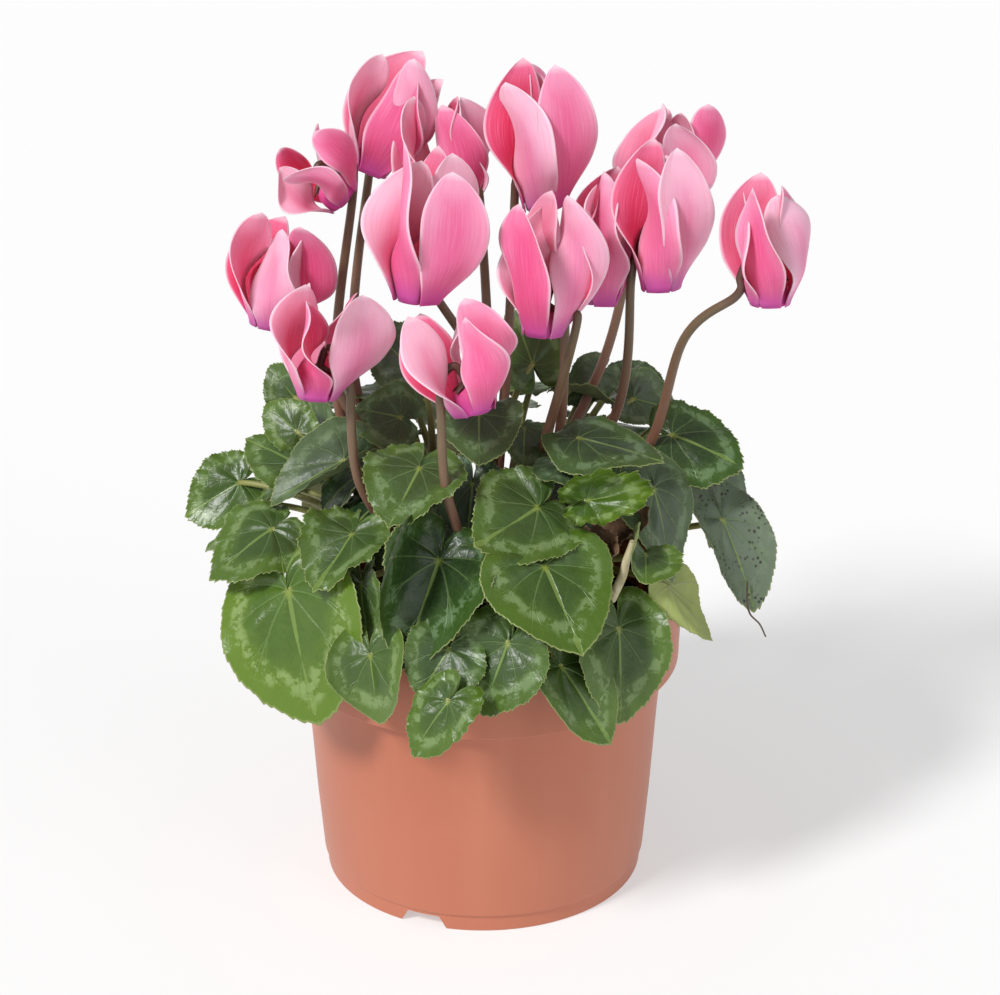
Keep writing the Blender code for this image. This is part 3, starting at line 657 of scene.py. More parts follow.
def add_grid(store, upper, lower, light):
    """Close two matching sheets of points into one leaf-thin body."""
    rows, cols = upper.shape[:2]
    at, n = len(store["verts"]), rows * cols
    uv = [((k % cols) / (cols - 1), (k // cols) / (rows - 1)) for k in range(n)]
    add_points(store, upper.reshape(-1, 3).tolist(), uv, 0.0, 0.0, light)
    add_points(store, lower.reshape(-1, 3).tolist(), uv, 1.0, 0.0, light)
    for r in range(rows - 1):
        for a in range(at + r * cols, at + r * cols + cols - 1):
            b, c, d = a + 1, a + cols + 1, a + cols
            store["faces"] += [(a, b, c, d), (a + n, d + n, c + n, b + n)]
    edge = [*range(cols), *range(2 * cols - 1, n, cols), *range(n - 2, n - cols - 1, -1),
            *range(n - 2 * cols, 0, -cols)]
    for p, q in zip(edge, edge[1:] + edge[:1]):
        store["faces"].append((at + q, at + p, at + p + n, at + q + n))


def add_ring(store, flower, radius, height, sides, uv, throat):
    """A ring of points round the flower's axis, given as mouth and three directions."""
    mouth, w, e, f = flower
    angles = [math.tau * i / sides for i in range(sides)]
    add_points(store, [tuple(mouth + (e * math.cos(a) + f * math.sin(a)) * radius + w * height)
                       for a in angles], [uv] * sides, 0.0, throat, 0.0)


def point_values(mesh, name, values):
    layer = mesh.attributes.new(name, "FLOAT", "POINT")
    layer.data.foreach_set("value", np.asarray(values, np.float32))


def point_uv(mesh, name, coords):
    layer = mesh.uv_layers.new(name=name)
    corner = np.empty(len(mesh.loops), np.int32)
    mesh.loops.foreach_get("vertex_index", corner)
    layer.data.foreach_set("uv", np.asarray(coords, np.float32)[corner].ravel())


def outward(ob):
    bm = bmesh.new()
    bm.from_mesh(ob.data)
    bmesh.ops.recalc_face_normals(bm, faces=bm.faces)
    bm.to_mesh(ob.data)
    bm.free()


# Radius and height round the section of the tube's wall, first outside and then inside
TUBE = ((4.9, 0.1), (5.3, 0.2), (5.5, 1.2), (5.6, 3.0), (5.4, 5.2), (4.4, 7.4), (2.6, 8.7),
        (0.05, 9.0), (0.05, 8.3), (2.2, 8.0), (4.0, 6.8), (4.9, 4.9), (5.1, 3.0), (4.9, 1.2),
        (4.6, 0.4))
TUBE_INSIDE, TUBE_SIDES, STYLE_SIDES = 8, 40, 12
# The cone of stamens and the style below it: two radii and two heights each
STYLE = (((1.7, 8.2), (1.3, 3.0)), ((1.3, 3.0), (0.3, -0.6)))

for number, (key, mouth, axis, length, width, lean, twist, side, _) in enumerate(FLOWERS):
    w, e, f = flower_frame(axis, side)
    mouth = Vector(mouth)
    store = {label: [] for label in ("verts", "faces", "inner", "throat", "light", "uv")}
    for i in range(PETALS):
        a = math.radians(36 + 72 * i)
        radial = e * math.cos(a) + f * math.sin(a)
        tang = f * math.cos(a) - e * math.sin(a)
        grow = 1 + 0.07 * math.sin(2.4 * i + length)
        upper, lower = petal_sheet(mouth, w, radial, tang, length * grow,
                                   width * (0.96 + 0.09 * math.cos(3.1 * i + number)),
                                   lean + 8 * math.sin(1.9 * i + number),
                                   twist + 30 + 24 * math.sin(2.7 * i + 2 * number),
                                   1.7 * i + number)
        add_grid(store, upper, lower, 0.5 + 0.5 * math.sin(2.2 * i + 2.9 * number))
    at = len(store["verts"])
    for k, (r, h) in enumerate(TUBE):
        add_ring(store, (mouth, w, e, f), r, h, TUBE_SIDES, (0.5, max(h, 0) / 60),
                 float(k >= TUBE_INSIDE))
        here, above = at + k * TUBE_SIDES, at + (k + 1) % len(TUBE) * TUBE_SIDES
        for i in range(TUBE_SIDES):
            j = (i + 1) % TUBE_SIDES
            store["faces"].append((here + i, here + j, above + j, above + i))
    for ends in STYLE:
        at = len(store["verts"])
        low, high = range(at, at + STYLE_SIDES), range(at + STYLE_SIDES, at + 2 * STYLE_SIDES)
        for r, h in ends:
            add_ring(store, (mouth, w, e, f), r, h, STYLE_SIDES, (0.5, 0.0), 0.8)
        store["faces"] += [(low[i - 1], low[i], high[i], high[i - 1]) for i in range(STYLE_SIDES)]
        store["faces"] += [tuple(reversed(low)), tuple(high)]
    flower = piece_from("flower_" + key, store["verts"], store["faces"], [petal_skin])
    for label in ("inner", "throat", "light"):
        point_values(flower.data, label, store[label])
    point_uv(flower.data, "petal", store["uv"])
    outward(flower)
    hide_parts("corolla_" + key)
    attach(flower, "root")


# ---------------------------------------------------------------- leaves
# Thick waxy heart-shaped leaves on fleshy stems. The edge is finely toothed with a pale
# line, pale veins fan out from the notch, and a broken silvery band runs between the
# middle and the edge. The underside is dull grey-green.

# Number, where the stem joins, tip, width to length, roll in degrees or the way the blade
# faces, bend of the tip, cup across, middle or outer ring of the crown, lightness (the
# leaf's own tone together with painted shade and light for where it sits in the dome),
# greyness (its silvery tone together with a painted bluish sheen), fold along the midrib,
# ruffle
LEAVES = (
    ("01", (-82, 40, 118), (-101, 34, 109), 1.2, (-0.3, -0.8, 0.5), 0.15, 0.1, "o", 0.55, 0.0, 0.05, 0.8),
    ("02", (-60, -2, 143), (-77, 12, 147), 1.1, 10, 0.1, -0.2, "m", 0.5, 0.1, 0.05, 0.8),
    ("03", (-50, 12, 141), (-59, 24, 157), 1.0, 0, 0.1, 0.2, "m", 0.35, 0.2, 0.1, 0.6),
    ("04", (-44, -14, 149), (-70, -22, 137), 0.7, -25, 0.1, 0.1, "m", 0.3, 0.42, 0.6, 0.5),
    ("05", (-66, -29, 132), (-85, -41, 124), 1.3, (-0.5, -0.6, 0.6), 0.2, -0.1, "o", 0.5, 0.05, 0.0, 0.8),
    ("06", (-40, -44, 137), (-53, -60, 126), 1.3, 0, 0.15, 0.1, "m", 0.45, 0.05, 0.15, 1.2),
    ("07", (-60, -46, 119), (-55, -67, 83), 1.15, 0, 0.12, -0.1, "o", 0.85, 0.0, 0.05, 0.15),
    ("08", (-34, -67, 107), (-33, -77, 86), 1.12, 10, 0.1, 0.2, "o", 0.6, 0.1, 0.15, 0.2),
    ("09", (-13, -56, 134), (-24, -74, 109), 1.15, -10, 0.15, 0.3, "m", 0.12, 0.0, 0.5, 0.4),
    ("10", (-10, -73, 112), (-20, -81, 99), 1.4, -8, 0.1, 0.1, "o", 0.35, 0.1, 0.1, 0.9),
    ("11", (8, -75, 115), (-1, -84, 94), 1.2, 10, 0.12, -0.1, "o", 0.4, 0.05, 0.1, 0.7),
    ("12", (-10, -86, 101), (-23, -90, 84), 0.95, 0, 0.1, -0.2, "o", 0.5, 0.0, 0.1, 1.0),
    ("13", (19, -63, 135), (30, -84, 116), 1.3, 0, 0.1, 0.15, "o", 0.45, 0.0, 0.12, 0.15),
    ("14", (24, -69, 104), (41, -77, 82), 0.95, -10, 0.08, -0.3, "o", 0.5, 0.05, 0.2, 0.2),
    ("15", (42, -57, 111), (45, -72, 83), 0.95, 5, 0.12, 0.2, "o", 0.5, 0.05, 0.15, 0.5),
    ("16", (17, -46, 147), (-2, -64, 142), 1.3, 0, 0.0, 0.1, "m", 0.42, 0.05, 0.05, 0.8),
    ("17", (-19, -46, 160), (-29, -64, 150), 1.4, 0, 0.15, 0.1, "m", 0.36, 0.05, 0.05, 0.8),
    ("18", (32, -52, 152), (53, -50, 155), 0.8, 20, -0.2, 0.4, "m", 0.7, 0.0, 0.45, 5.0),
    ("19", (50, -55, 135), (49, -69, 130), 1.4, 0, -0.1, 0.4, "o", 0.6, 0.1, 0.2, 0.8),
    ("20", (30, -32, 164), (54, -43, 163), 1.0, -5, 0.12, -0.1, "m", 0.14, 0.1, 0.0, 0.4),
    ("21", (53, -34, 148), (61, -50, 122), 1.0, 0, 0.12, -0.15, "m", 0.2, 0.3, 0.0, 0.2),
    ("22", (60, -10, 156), (83, -18, 150), 1.15, (0.2, -0.6, 0.8), 0.15, -0.1, "m", 0.16, 0.0, 0.0, 0.7),
    ("23", (76, -17, 130), (90, -31, 104), 0.75, (0.5, -0.8, 0.3), 0.15, 0.1, "o", 0.5, 1.0, 0.1, 0.4),
    ("24", (58, -42, 118), (71, -44, 101), 0.9, 180, 0.1, -0.3, "o", 1.2, 0.1, 0.1, 0.3),
    ("25", (49, 26, 154), (66, 27, 150), 1.1, (0.1, -0.7, 0.7), 0.15, 0.1, "m", 0.3, 0.35, 0.1, 0.5),
    ("26", (16, 16, 170), (9, 26, 187), 1.1, (0.1, -0.8, 0.5), 0.1, 0.1, "m", 0.5, 0.1, 0.1, 0.8),
    ("27", (-1, -22, 168), (-1, -42, 161), 1.2, 0, 0.15, 0.1, "m", 0.2, 0.2, 0.1, 0.5),
    ("28", (38, 60, 132), (50, 82, 120), 1.2, 0, 0.2, 0.1, "o", 0.5, 0.0, 0.05, 0.6),
    ("29", (-2, 62, 136), (-6, 95, 122), 1.2, 0, 0.2, 0.1, "o", 0.55, 0.0, 0.05, 0.4),
    ("30", (-42, 56, 132), (-60, 76, 120), 1.2, 0, 0.2, 0.1, "o", 0.45, 0.1, 0.05, 0.6),
)
# Smaller leaves that fill the dome between the big ones: where the stem joins, tip, width
# to length, roll or facing, lightness (own tone together with painted shade and light),
# greyness (silvery tone together with a painted bluish sheen)
FILL_LEAVES = (
    ((-26, -5, 160), (-43, 2, 162), 1.2, (-0.2, -0.7, 0.7), 0.3, 0.2),
    ((13, -14, 160), (13, -29, 154), 1.2, 0, 0.3, 0.2),
    ((-3, -34, 150), (-5, -43, 131), 1.0, 0, 0.05, 0.3),
    ((26, -36, 157), (47, -45, 151), 0.9, 0, 0.05, 0.2),
    ((-37, -52, 124), (-36, -64, 106), 0.8, 20, 0.5, 0.1),
    ((-62, 30, 153), (-71, 33, 163), 1.2, (-0.3, -0.8, 0.4), 0.4, 0.1),
    ((-60, 8, 150), (-72, 16, 158), 1.0, (-0.3, -0.7, 0.6), 0.6, 0.1),
    ((46, 36, 158), (60, 34, 157), 0.8, (0, -0.7, 0.7), 0.1, 0.3),
    ((38, 24, 164), (27, 18, 156), 1.0, (0, -0.8, 0.6), 0.3, 0.5),
    ((74, 0, 140), (86, 4, 124), 1.0, (0.5, -0.6, 0.3), 0.3, 0.8),
    ((60, 38, 142), (80, 50, 132), 1.2, 0, 0.5, 0.0),
    ((16, 48, 150), (24, 72, 144), 1.2, 0, 0.45, 0.1),
    ((-26, 42, 152), (-38, 62, 146), 1.2, 0, 0.4, 0.1),
    ((70, 16, 124), (92, 22, 106), 1.1, 0, 0.5, 0.1),
    ((24, 70, 116), (28, 86, 92), 1.1, 0, 0.6, 0.0),
    ((-22, 72, 116), (-26, 88, 92), 1.1, 0, 0.6, 0.0),
    ((-66, 40, 116), (-84, 48, 96), 1.1, 0, 0.6, 0.1),
    ((4, 30, 160), (2, 50, 158), 1.2, 0, 0.4, 0.1),
    ((-48, 30, 152), (-62, 42, 148), 1.1, 0, 0.35, 0.1),
    ((38, 42, 150), (54, 58, 146), 1.1, 0, 0.4, 0.0),
    ((66, 40, 114), (82, 50, 92), 1.1, 0, 0.55, 0.0),
    ((46, 62, 114), (56, 76, 92), 1.1, 0, 0.5, 0.0),
    ((-46, 62, 114), (-58, 74, 92), 1.1, 0, 0.5, 0.0),
    ((-72, 12, 122), (-92, 12, 106), 1.1, 0, 0.5, 0.0),
    ((-30, 20, 158), (-46, 30, 158), 1.0, 0, 0.3, 0.1),
    ((28, 14, 162), (46, 12, 160), 1.0, 0, 0.3, 0.1),
    ((-22, 18, 167), (-37, 24, 180), 1.1, (-0.3, -0.7, 0.6), 0.15, 0.3),
)
# How far a blade reaches from the stem's join, by the angle away from its tip
REACH = ((0, 1.0), (8, 0.95), (20, 0.86), (35, 0.775), (50, 0.715), (70, 0.66), (90, 0.61),
         (110, 0.565), (130, 0.53), (150, 0.49), (165, 0.39), (175, 0.19), (180, 0.06))
# Blades with specks of mud
MUDDY = ("23",)
# Blades whose one side rolls up: minus is the left side, seen from outside
CURLED = {"09": -0.75, "18": 0.45, "19": -0.5, "24": 0.4, "14": 0.25,
          "06": -0.2, "04": 0.4, "23": -0.2, "08": -0.25}
# Blades whose back lobes fold down behind the stem
SWEPT = {"07": 2.2, "13": 2.2, "09": 1.2, "08": 1.0, "12": 0.8,
         "14": 1.0}
BLADE, TEETH, SECTORS = 0.5, 72, 288
# Degrees between main veins, how much they bend on the way out, a degree in radians
VEIN_STEP, VEIN_BEND, DEGREE = 40.0, 0.28, 0.01745
LEAF_STEM_RADIUS, LEAF_STEM_SIDES, LEAF_STEM_STEPS = 1.25, 10, 24
# Where the rings of a blade's grid lie, as shares of its reach
RINGS = np.array([0.06, 0.16, 0.28, 0.4, 0.52, 0.63, 0.73, 0.82, 0.89, 0.94, 0.975, 1.0])


def leaf_top_look():
    look = Look("leaf_top", 0.35, Specular_IOR_Level=0.45)
    around, out = look.uv("blade")
    tone = look.attribute("tone", "Color")
    light = look.node("ShaderNodeSeparateColor", {}, tone, out=0)
    grey = look.node("ShaderNodeSeparateColor", {}, tone, out=1)
    dirt = look.node("ShaderNodeSeparateColor", {}, tone, out=2)
    cloud = look.noise(70, 4, 0.6)
    fine = look.noise(420, 4, 0.6)
    angle = abs((around - 0.5) * 360) * (1 + VEIN_BEND * out) + (cloud - 0.5) * 20 * out
    turn = abs((angle / VEIN_STEP + 0.5).fraction() - 0.5) * (VEIN_STEP * DEGREE)
    apart = turn * out
    veins = 1 - (apart - (0.011 - 0.009 * out)).between(0.0, 0.011)
    veins = veins * (1 - out.between(0.75, 0.97))
    mid = 1 - (angle * DEGREE * out - (0.017 - 0.015 * out)).between(0.0, 0.012)
    fork = abs(turn - (out - 0.45) * 0.42) * out
    forks = (1 - (fork - 0.002).between(0.0, 0.010)) * out.between(0.42, 0.5)
    forks = forks * (1 - out.between(0.7, 0.92))
    net = 1 - look.cells(330, "DISTANCE_TO_EDGE").between(0.0, 0.12)
    ring = out + (cloud - 0.5) * 0.4
    # Lightness runs from near-black to bright green: the leaf's own tone, with painted shade on leaves in
    # shadow and painted light on lit ones.
    inside = look.blend(light, (0.009, 0.023, 0.011), (0.058, 0.120, 0.012))
    outside = look.blend(light, (0.020, 0.058, 0.010), (0.112, 0.200, 0.010))
    blotch = look.noise(260, 3, 0.65).between(0.44, 0.54)
    band = ring.between(0.60, 0.68) * (1 - ring.between(0.76, 0.86)) * blotch
    specks = look.cells(620).between(0.12, 0.42)
    mud = (1 - specks) * look.noise(120, 2).between(0.42, 0.55) * dirt * out.between(0.3, 0.55)
    look.paint(
        look.blend(ring.between(0.45, 0.8), inside, outside),
        (cloud.between(0.25, 0.75) * 0.35, outside),
        (band * 0.85, look.blend(light, (0.095, 0.165, 0.085), (0.235, 0.330, 0.095))),
        # Greyness: the leaf's silvery tone together with a painted bluish sheen.
        (grey * 0.8, (0.125, 0.160, 0.120)), (net * 0.08, (0.12, 0.19, 0.04)),
        (veins.top(forks * 0.7) * 0.34, (0.16, 0.26, 0.08)), (mid * 0.5, (0.19, 0.28, 0.06)),
        ((1 - out.between(0.02, 0.10)) * 0.6, (0.22, 0.27, 0.04)),
        (out.between(0.968, 0.994) * 0.7, (0.30, 0.34, 0.12)), (mud, (0.02, 0.014, 0.01)))
    look.feed("Roughness", 0.24 + cloud * 0.22 + grey * 0.2)
    dents = look.noise(150, 2, 0.5)
    look.bump(fine * 0.2 + cloud * 0.5 + dents * 1.1 - veins.top(mid) * 0.35 - forks * 0.2
              - net * 0.05, 0.6, 0.0009)
    return look


def leaf_under_look():
    look = Look("leaf_underside", 0.6, Specular_IOR_Level=0.35)
    around, out = look.uv("blade")
    light = look.node("ShaderNodeSeparateColor", {}, look.attribute("tone", "Color"), out=0)
    cloud = look.noise(90, 4)
    angle = abs((around - 0.5) * 360) * (1 + VEIN_BEND * out) + (cloud - 0.5) * 9 * out
    apart = abs((angle / VEIN_STEP + 0.5).fraction() - 0.5) * (VEIN_STEP * DEGREE) * out
    veins = 1 - (apart - 0.012).between(0.0, 0.014)
    # Lightness darkens the underside too: its own tone, with painted shade where the leaf lies in shadow.
    look.paint(look.blend(light, (0.075, 0.105, 0.075), (0.33, 0.39, 0.12)),
               (cloud.between(0.35, 0.7) * 0.35, (0.15, 0.18, 0.10)),
               (veins * 0.5, (0.30, 0.31, 0.18)))
    look.feed("Roughness", 0.55 + cloud * 0.15)
    look.bump(veins + cloud, 0.4, 0.0005)
    return look


def petiole_look():
    look = Look("leaf_stem", 0.42, Subsurface_Weight=0.05, Subsurface_Scale=0.002)
    _, along = look.uv("blade")
    grain = look.noise(300, 3, at=look.stretched((1, 1, 0.2)))
    look.paint((0.135, 0.062, 0.040),
               ((along + (grain - 0.5) * 0.5).between(0.2, 0.85), (0.25, 0.26, 0.075)))
    look.feed("Roughness", 0.36 + grain * 0.2)
    look.bump(grain, 0.2, 0.0003)
    return look


leaf_looks = [leaf_top_look(), leaf_under_look(), petiole_look()]


def leaf_frame(join, tip, roll):
    """Axes along and across the blade and out of its upper face."""
    along = (tip - join).normalized()
    out = Vector((join.x, join.y, 0)).normalized()
    face = out * 0.6 + Vector((0, 0, 0.8))
    if isinstance(roll, tuple):
        face = Vector(roll)
        roll = 0
    face = (face - along * face.dot(along)).normalized()
    across = face.cross(along)
    c, s = math.cos(math.radians(roll)), math.sin(math.radians(roll))
    return along, across * c + face * s, face * c - across * s


def blade_grid(join, tip, width, roll, bend, cup, fold, ruffle, seed, curl, ear):
    """Upper and lower points of a blade as rings round the stem's join."""
    length = (tip - join).length
    along, across, face = (np.array(v) for v in leaf_frame(join, tip, roll))
    theta = np.arange(SECTORS) * math.tau / SECTORS
    theta = np.where(theta > math.pi, theta - math.tau, theta)
    reach = np.interp(np.abs(np.degrees(theta)), [a for a, _ in REACH], [r for _, r in REACH])
    reach = reach * (1 + 0.05 * np.sin(theta + 2 * seed) + 0.03 * np.sin(4 * theta + seed))
    k = RINGS[:, None]
    step = np.abs(theta) * TEETH / math.tau
    tooth = (1 - step % 1) * (0.7 + 0.3 * np.sin(2.1 * step + seed))
    cut = 0.022 + 0.045 * min(ruffle, 1.0)
    reach = reach[None, :] * (1 - cut * (1 - tooth[None, :]) * np.clip((k - 0.9) * 10, 0, 1))
    r = reach * k * length
    u, v = r * np.cos(theta), r * np.sin(theta) * width / 1.16
    h = -bend * np.maximum(u, 0) ** 2 / length + cup * v * v / length
    h = h - ear * np.maximum(-u - 0.1 * length, 0) ** 2 / length
    h = h + 0.06 * length * k * np.sin(3 * theta + 1.3 * length)
    h = h + fold * np.sqrt(v * v + 1.0) - fold
    turned_angle = np.degrees(np.abs(theta))[None, :] * (1 + VEIN_BEND * k)
    vein = np.cos(turned_angle * math.tau / VEIN_STEP)
    h = h - 0.0045 * length * vein * np.sin(np.clip(k, 0, 1) * math.pi) ** 1.4
    dent = np.sin(5.3 * theta + 3.1 * seed)[None, :] * np.sin(7.0 * k + seed)
    h = h + 0.012 * length * dent * np.sin(np.clip(k, 0, 1) * math.pi)
    h = h + 0.045 * length * k * k * np.sin(2 * theta + seed)
    h = h + ruffle * length * 0.034 * np.sin(9 * theta + seed)[None, :] * k ** 4
    h = h + ruffle * length * 0.016 * np.sin(23 * theta + 2.3 * seed)[None, :] * k ** 8
    if curl:
        wide = 0.5 * length * width
        over = np.clip((math.copysign(1, curl) * v / wide - 0.3) / 0.7, 0, 1) ** 2
        h = h + abs(curl) * wide * over
        v = v - curl * wide * 0.6 * over
    centre = np.array(join)
    mid = centre + along * u[..., None] + across * v[..., None] + face * h[..., None]
    thick = face * BLADE * (1.2 - 0.7 * k)[..., None] / 2
    return centre, face, mid + thick, mid - thick


def petiole_points(base, join):
    """A bent line from the crown to the blade."""
    out = Vector((join.x, join.y, 0)).normalized()
    low = join.z < 128
    p1 = base + Vector((0, 0, max(12.0, (join.z - base.z) * 0.55))) + out * 2
    p2 = join - out * (16 if low else 10) + Vector((0, 0, 4 if low else -6))
    line = []
    for i in range(LEAF_STEM_STEPS + 1):
        t = i / LEAF_STEM_STEPS
        s = 1 - t
        line.append(base * s ** 3 + p1 * 3 * s * s * t + p2 * 3 * s * t * t + join * t ** 3)
    return line


def grow_leaf(name, base, join, tip, width, roll, bend, cup, light, grey, fold, ruffle, dirt,
              seed, curl=0.0, ear=0.5, looks=leaf_looks):
    """One leaf with its stem; the looks are for its top, its underside and its stem."""
    centre, face, top, low = blade_grid(join, tip, width, roll, bend, cup, fold, ruffle, seed,
                                       curl, ear)
    verts = [tuple(centre + face * BLADE * 0.6)] + top.reshape(-1, 3).tolist()
    n = len(verts)
    verts += [tuple(centre - face * BLADE * 0.6)] + low.reshape(-1, 3).tolist()
    faces, face_look, coords = [], [], []
    for under, at in ((0, 0), (1, n)):
        for i in range(SECTORS):
            j = (i + 1) % SECTORS
            u0 = (i / SECTORS + 0.5) % 1.0
            u1 = u0 + 1 / SECTORS
            grid = [((at, at + 1 + i, at + 1 + j), ((u0, 0), (u0, RINGS[0]), (u1, RINGS[0])))]
            for k, (v0, v1) in enumerate(zip(RINGS, RINGS[1:])):
                a = at + 1 + k * SECTORS
                b = a + SECTORS
                grid.append(((a + i, b + i, b + j, a + j), ((u0, v0), (u0, v1), (u1, v1), (u1, v0))))
            for corners, uv in grid:
                faces.append(corners[::-1] if under else corners)
                coords += uv[::-1] if under else uv
                face_look.append(under)
    edge = n - SECTORS
    for i in range(SECTORS):
        j = (i + 1) % SECTORS
        faces.append((edge + i, n + edge + i, n + edge + j, edge + j))
        coords += [(0.5, 1.0)] * 4
        face_look.append(0)
    line = petiole_points(base, join)
    side = Vector((1, 0, 0))
    start, last = len(verts), LEAF_STEM_STEPS
    for k, p in enumerate(line):
        d = (line[min(k + 1, last)] - line[max(k - 1, 0)]).normalized()
        side = (side - d * side.dot(d)).normalized()
        up = d.cross(side)
        radius = LEAF_STEM_RADIUS * (1.15 - 0.35 * k / last)
        for i in range(LEAF_STEM_SIDES):
            a = math.tau * i / LEAF_STEM_SIDES
            verts.append(tuple(p + (side * math.cos(a) + up * math.sin(a)) * radius))
    for k in range(last):
        a = start + k * LEAF_STEM_SIDES
        b = a + LEAF_STEM_SIDES
        for i in range(LEAF_STEM_SIDES):
            j = (i + 1) % LEAF_STEM_SIDES
            faces.append((a + i, a + j, b + j, b + i))
            u = i / LEAF_STEM_SIDES
            coords += [(u, k / last)] * 2 + [(u, (k + 1) / last)] * 2
    faces += [tuple(range(start, start + LEAF_STEM_SIDES))[::-1],
              tuple(range(len(verts) - LEAF_STEM_SIDES, len(verts)))]
    coords += [(0, 0)] * LEAF_STEM_SIDES + [(0, 1)] * LEAF_STEM_SIDES
    face_look += [2] * (last * LEAF_STEM_SIDES + 2)
    ob = piece_from(name, verts, faces, looks, face_look)
    layer = ob.data.uv_layers.new(name="blade")
    layer.data.foreach_set("uv", np.asarray(coords, np.float32).ravel())
    tone = ob.data.attributes.new("tone", "FLOAT_COLOR", "POINT")
    tone.data.foreach_set("color", np.tile((light, grey, dirt, 1.0), len(verts)))
    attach(ob, "root")
    return ob


def small_root(join):
    """Where the stem of a small leaf leaves the crown, below the leaf."""
    a = math.atan2(join.y, join.x)
    return Vector((20 * math.cos(a), 20 * math.sin(a), tuber_height(18.5) + 0.1))


leaves = [(row[0], Vector(row[1]), Vector(row[2]), *row[3:]) for row in LEAVES]
roots = crown_places([(r[0], r[1]) for r in leaves if r[7] == "o"], OUTER_RING)
roots.update(crown_places([(r[0], r[1]) for r in leaves if r[7] == "m"], MIDDLE_RING))
for number, row in enumerate(leaves):
    key, join, tip, width, roll, bend, cup, _, light, grey, fold, ruffle = row
    leaf = grow_leaf("blade_" + key, roots[key], join, tip, width, roll, bend, cup, light, grey,
                     fold, ruffle, float(key in MUDDY), 1.7 * number, CURLED.get(key, 0.0),
                     SWEPT.get(key, 0.5))
    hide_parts("leaf_" + key)
for number, (join, tip, width, roll, light, grey) in enumerate(FILL_LEAVES):
    join, tip = Vector(join), Vector(tip)
    grow_leaf("fill_leaf_%02d" % (number + 1), small_root(join), join, tip, width, roll, 0.15, 0.1,
              light, grey, 0.08, 0.7, 0, 0.9 * number)

# Leaves inside the dome, on a spiral of golden-angle steps, painted near-black as the
# shade between the outer leaves
INNER_LEAVES, GOLDEN = 22, 2.4
for number in range(INNER_LEAVES):
    a = GOLDEN * number
    r = 24 + 26 * (number * 0.618 % 1)
    low = 4 + 14 * (number * 0.37 % 1)
    join = Vector((r * math.cos(a), r * math.sin(a), 114 + 32 * (number * 0.73 % 1)))
    tip = join + Vector((19 * math.cos(a), 19 * math.sin(a), -low))
    grow_leaf("inner_leaf_%02d" % (number + 1), small_root(join), join, tip, 1.15, 0, 0.15, 0.1,
              0.03, 0.0, 0.08, 0.7, 0, 1.1 * number)


# ---------------------------------------------------------------- loose bits
# Three withered leaves by the crown, a cut cream stem on the right, and a dry root thread
# that hangs below a leaf. None is part of the living plant.

withered = Look("withered_leaf", 0.7, Specular_IOR_Level=0.25)
crease = withered.noise(160, 5, 0.65, warp=1.0)
withered.paint((0.060, 0.032, 0.020), (crease.between(0.3, 0.7), (0.26, 0.155, 0.090)))
withered.bump(crease, 0.8, 0.0012)
for number, (join, tip) in enumerate((((34, -46, 128), (46, -58, 134)),
                                      ((40, -38, 134), (56, -46, 140)),
                                      ((-44, -34, 114), (-40, -46, 120)))):
    join, tip = Vector(join), Vector(tip)
    root = Vector((20 * join.x / join.length, 20 * join.y / join.length, 90))
    grow_leaf("withered_leaf_%d" % (number + 1), root, join, tip, 0.8, 20, -0.5, 0.9, 0, 0, 0.4,
              1.8, 0, number, 0.5, looks=[withered] * 3)

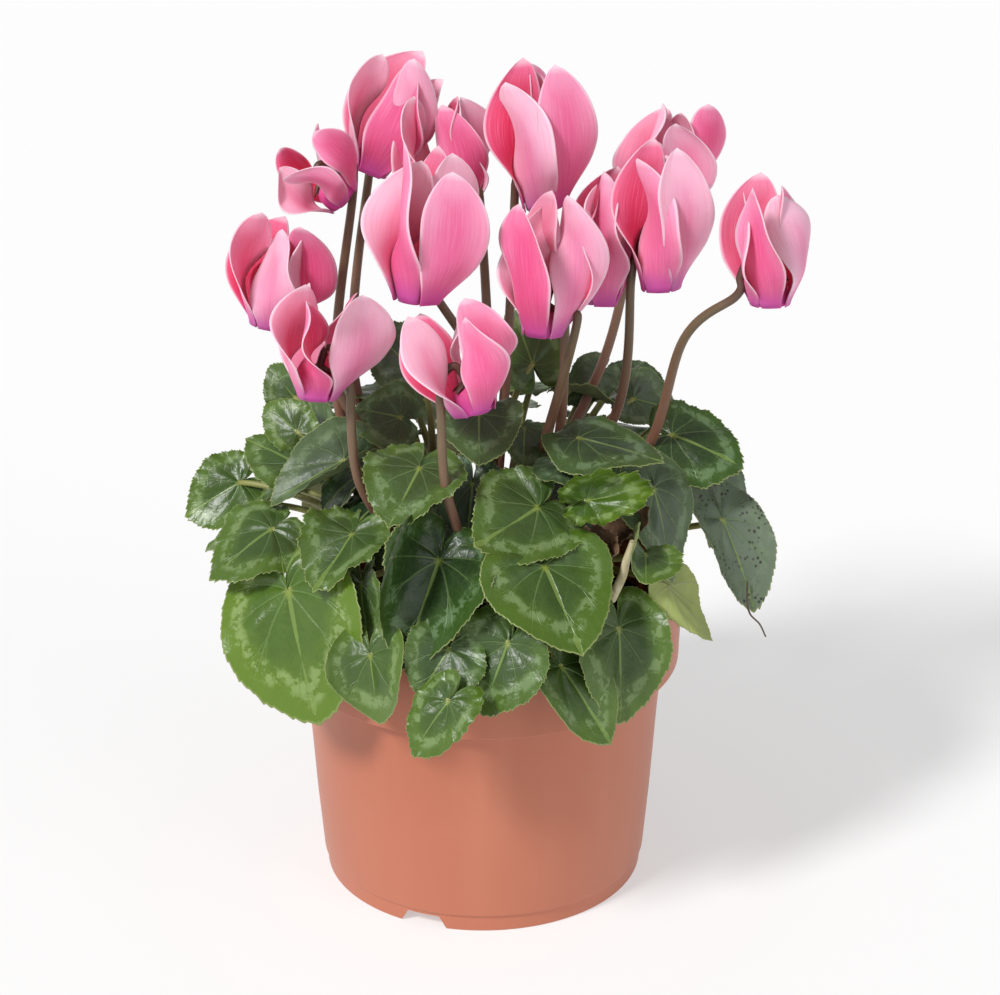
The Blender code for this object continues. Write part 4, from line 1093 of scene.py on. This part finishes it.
straw = Look("dry_stem", 0.6)
grain = straw.noise(350, 4, at=straw.stretched((1, 1, 0.2)))
straw.paint((0.42, 0.36, 0.20), (grain.between(0.3, 0.7), (0.68, 0.63, 0.42)))
straw.bump(grain, 0.4, 0.0004)
bark = Look("root_thread", 0.8)
grain = bark.noise(600, 3)
bark.paint((0.035, 0.025, 0.018), (grain, (0.14, 0.10, 0.07)))
bark.bump(grain, 0.5, 0.0003)
for name, look, radius, points in (
        ("dry_stem", straw, 1.6, ((40, -50, 118), (43, -55, 128), (44, -57, 134), (46, -58, 141))),
        ("root_thread", bark, 0.35, ((84, -25, 112), (84, -27, 106), (85, -28, 102),
                                     (88, -29, 99), (90, -30, 95)))):
    bit = stem_piece(name, [Vector(p) for p in points], 10, stem_tree(look), radius, radius * 0.7,
                     10)
    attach(bit, "root")


# ---------------------------------------------------------------- studio
# Not part of the object: a pale floor, a white sky that dims upwards, soft light from
# the upper left, and the camera.

paper = Look("studio_paper", 0.9, Specular_IOR_Level=0.1, Emission_Strength=0.46)
paper.paint((0.49, 0.49, 0.49), (paper.noise(3, 2), (0.50, 0.50, 0.50)))
FLOOR_HALF, FLOOR_DROP = 3000, -0.05
floor = piece_from("studio_floor", [(x * FLOOR_HALF, y * FLOOR_HALF, FLOOR_DROP)
                                    for x, y in ((-1, -1), (1, -1), (1, 1), (-1, 1))],
                   [(0, 1, 2, 3)], [paper])
world = bpy.data.worlds.new("studio")
world.use_nodes = True
sky = world.node_tree
sky.nodes["Background"].inputs["Color"].default_value = (1.0, 1.0, 1.0, 1.0)
where, up = sky.nodes.new("ShaderNodeTexCoord"), sky.nodes.new("ShaderNodeSeparateXYZ")
dim = sky.nodes.new("ShaderNodeMapRange")
sky.links.new(where.outputs["Generated"], up.inputs[0])
sky.links.new(up.outputs[2], dim.inputs["Value"])
for socket, value in (("From Min", 0.05), ("From Max", 0.3), ("To Min", 1.0), ("To Max", 0.36)):
    dim.inputs[socket].default_value = value
sky.links.new(dim.outputs["Result"], sky.nodes["Background"].inputs["Strength"])
bpy.context.scene.world = world
for label, place, spread, power in (("key", (-0.62, -0.62, 0.85), 12.0, 2.75),
                                    ("fill", (0.8, -0.75, 0.55), 40.0, 0.45)):
    light = bpy.data.lights.new("studio_" + label, "SUN")
    light.angle = math.radians(spread)
    light.energy = power
    lamp = put("studio_" + label, light)
    lamp.location = place
    lamp.rotation_euler = Vector(place).to_track_quat("Z", "Y").to_euler()
camera = bpy.data.cameras.new("camera")
camera.sensor_width = 36
camera.lens = 111.7
eye = put("camera", camera)
eye.location = (0.0055, -0.9154, 0.5326)
eye.rotation_euler = (math.radians(66.27), 0, 0)
bpy.context.scene.camera = eye
bpy.context.scene.view_settings.view_transform = "Standard"
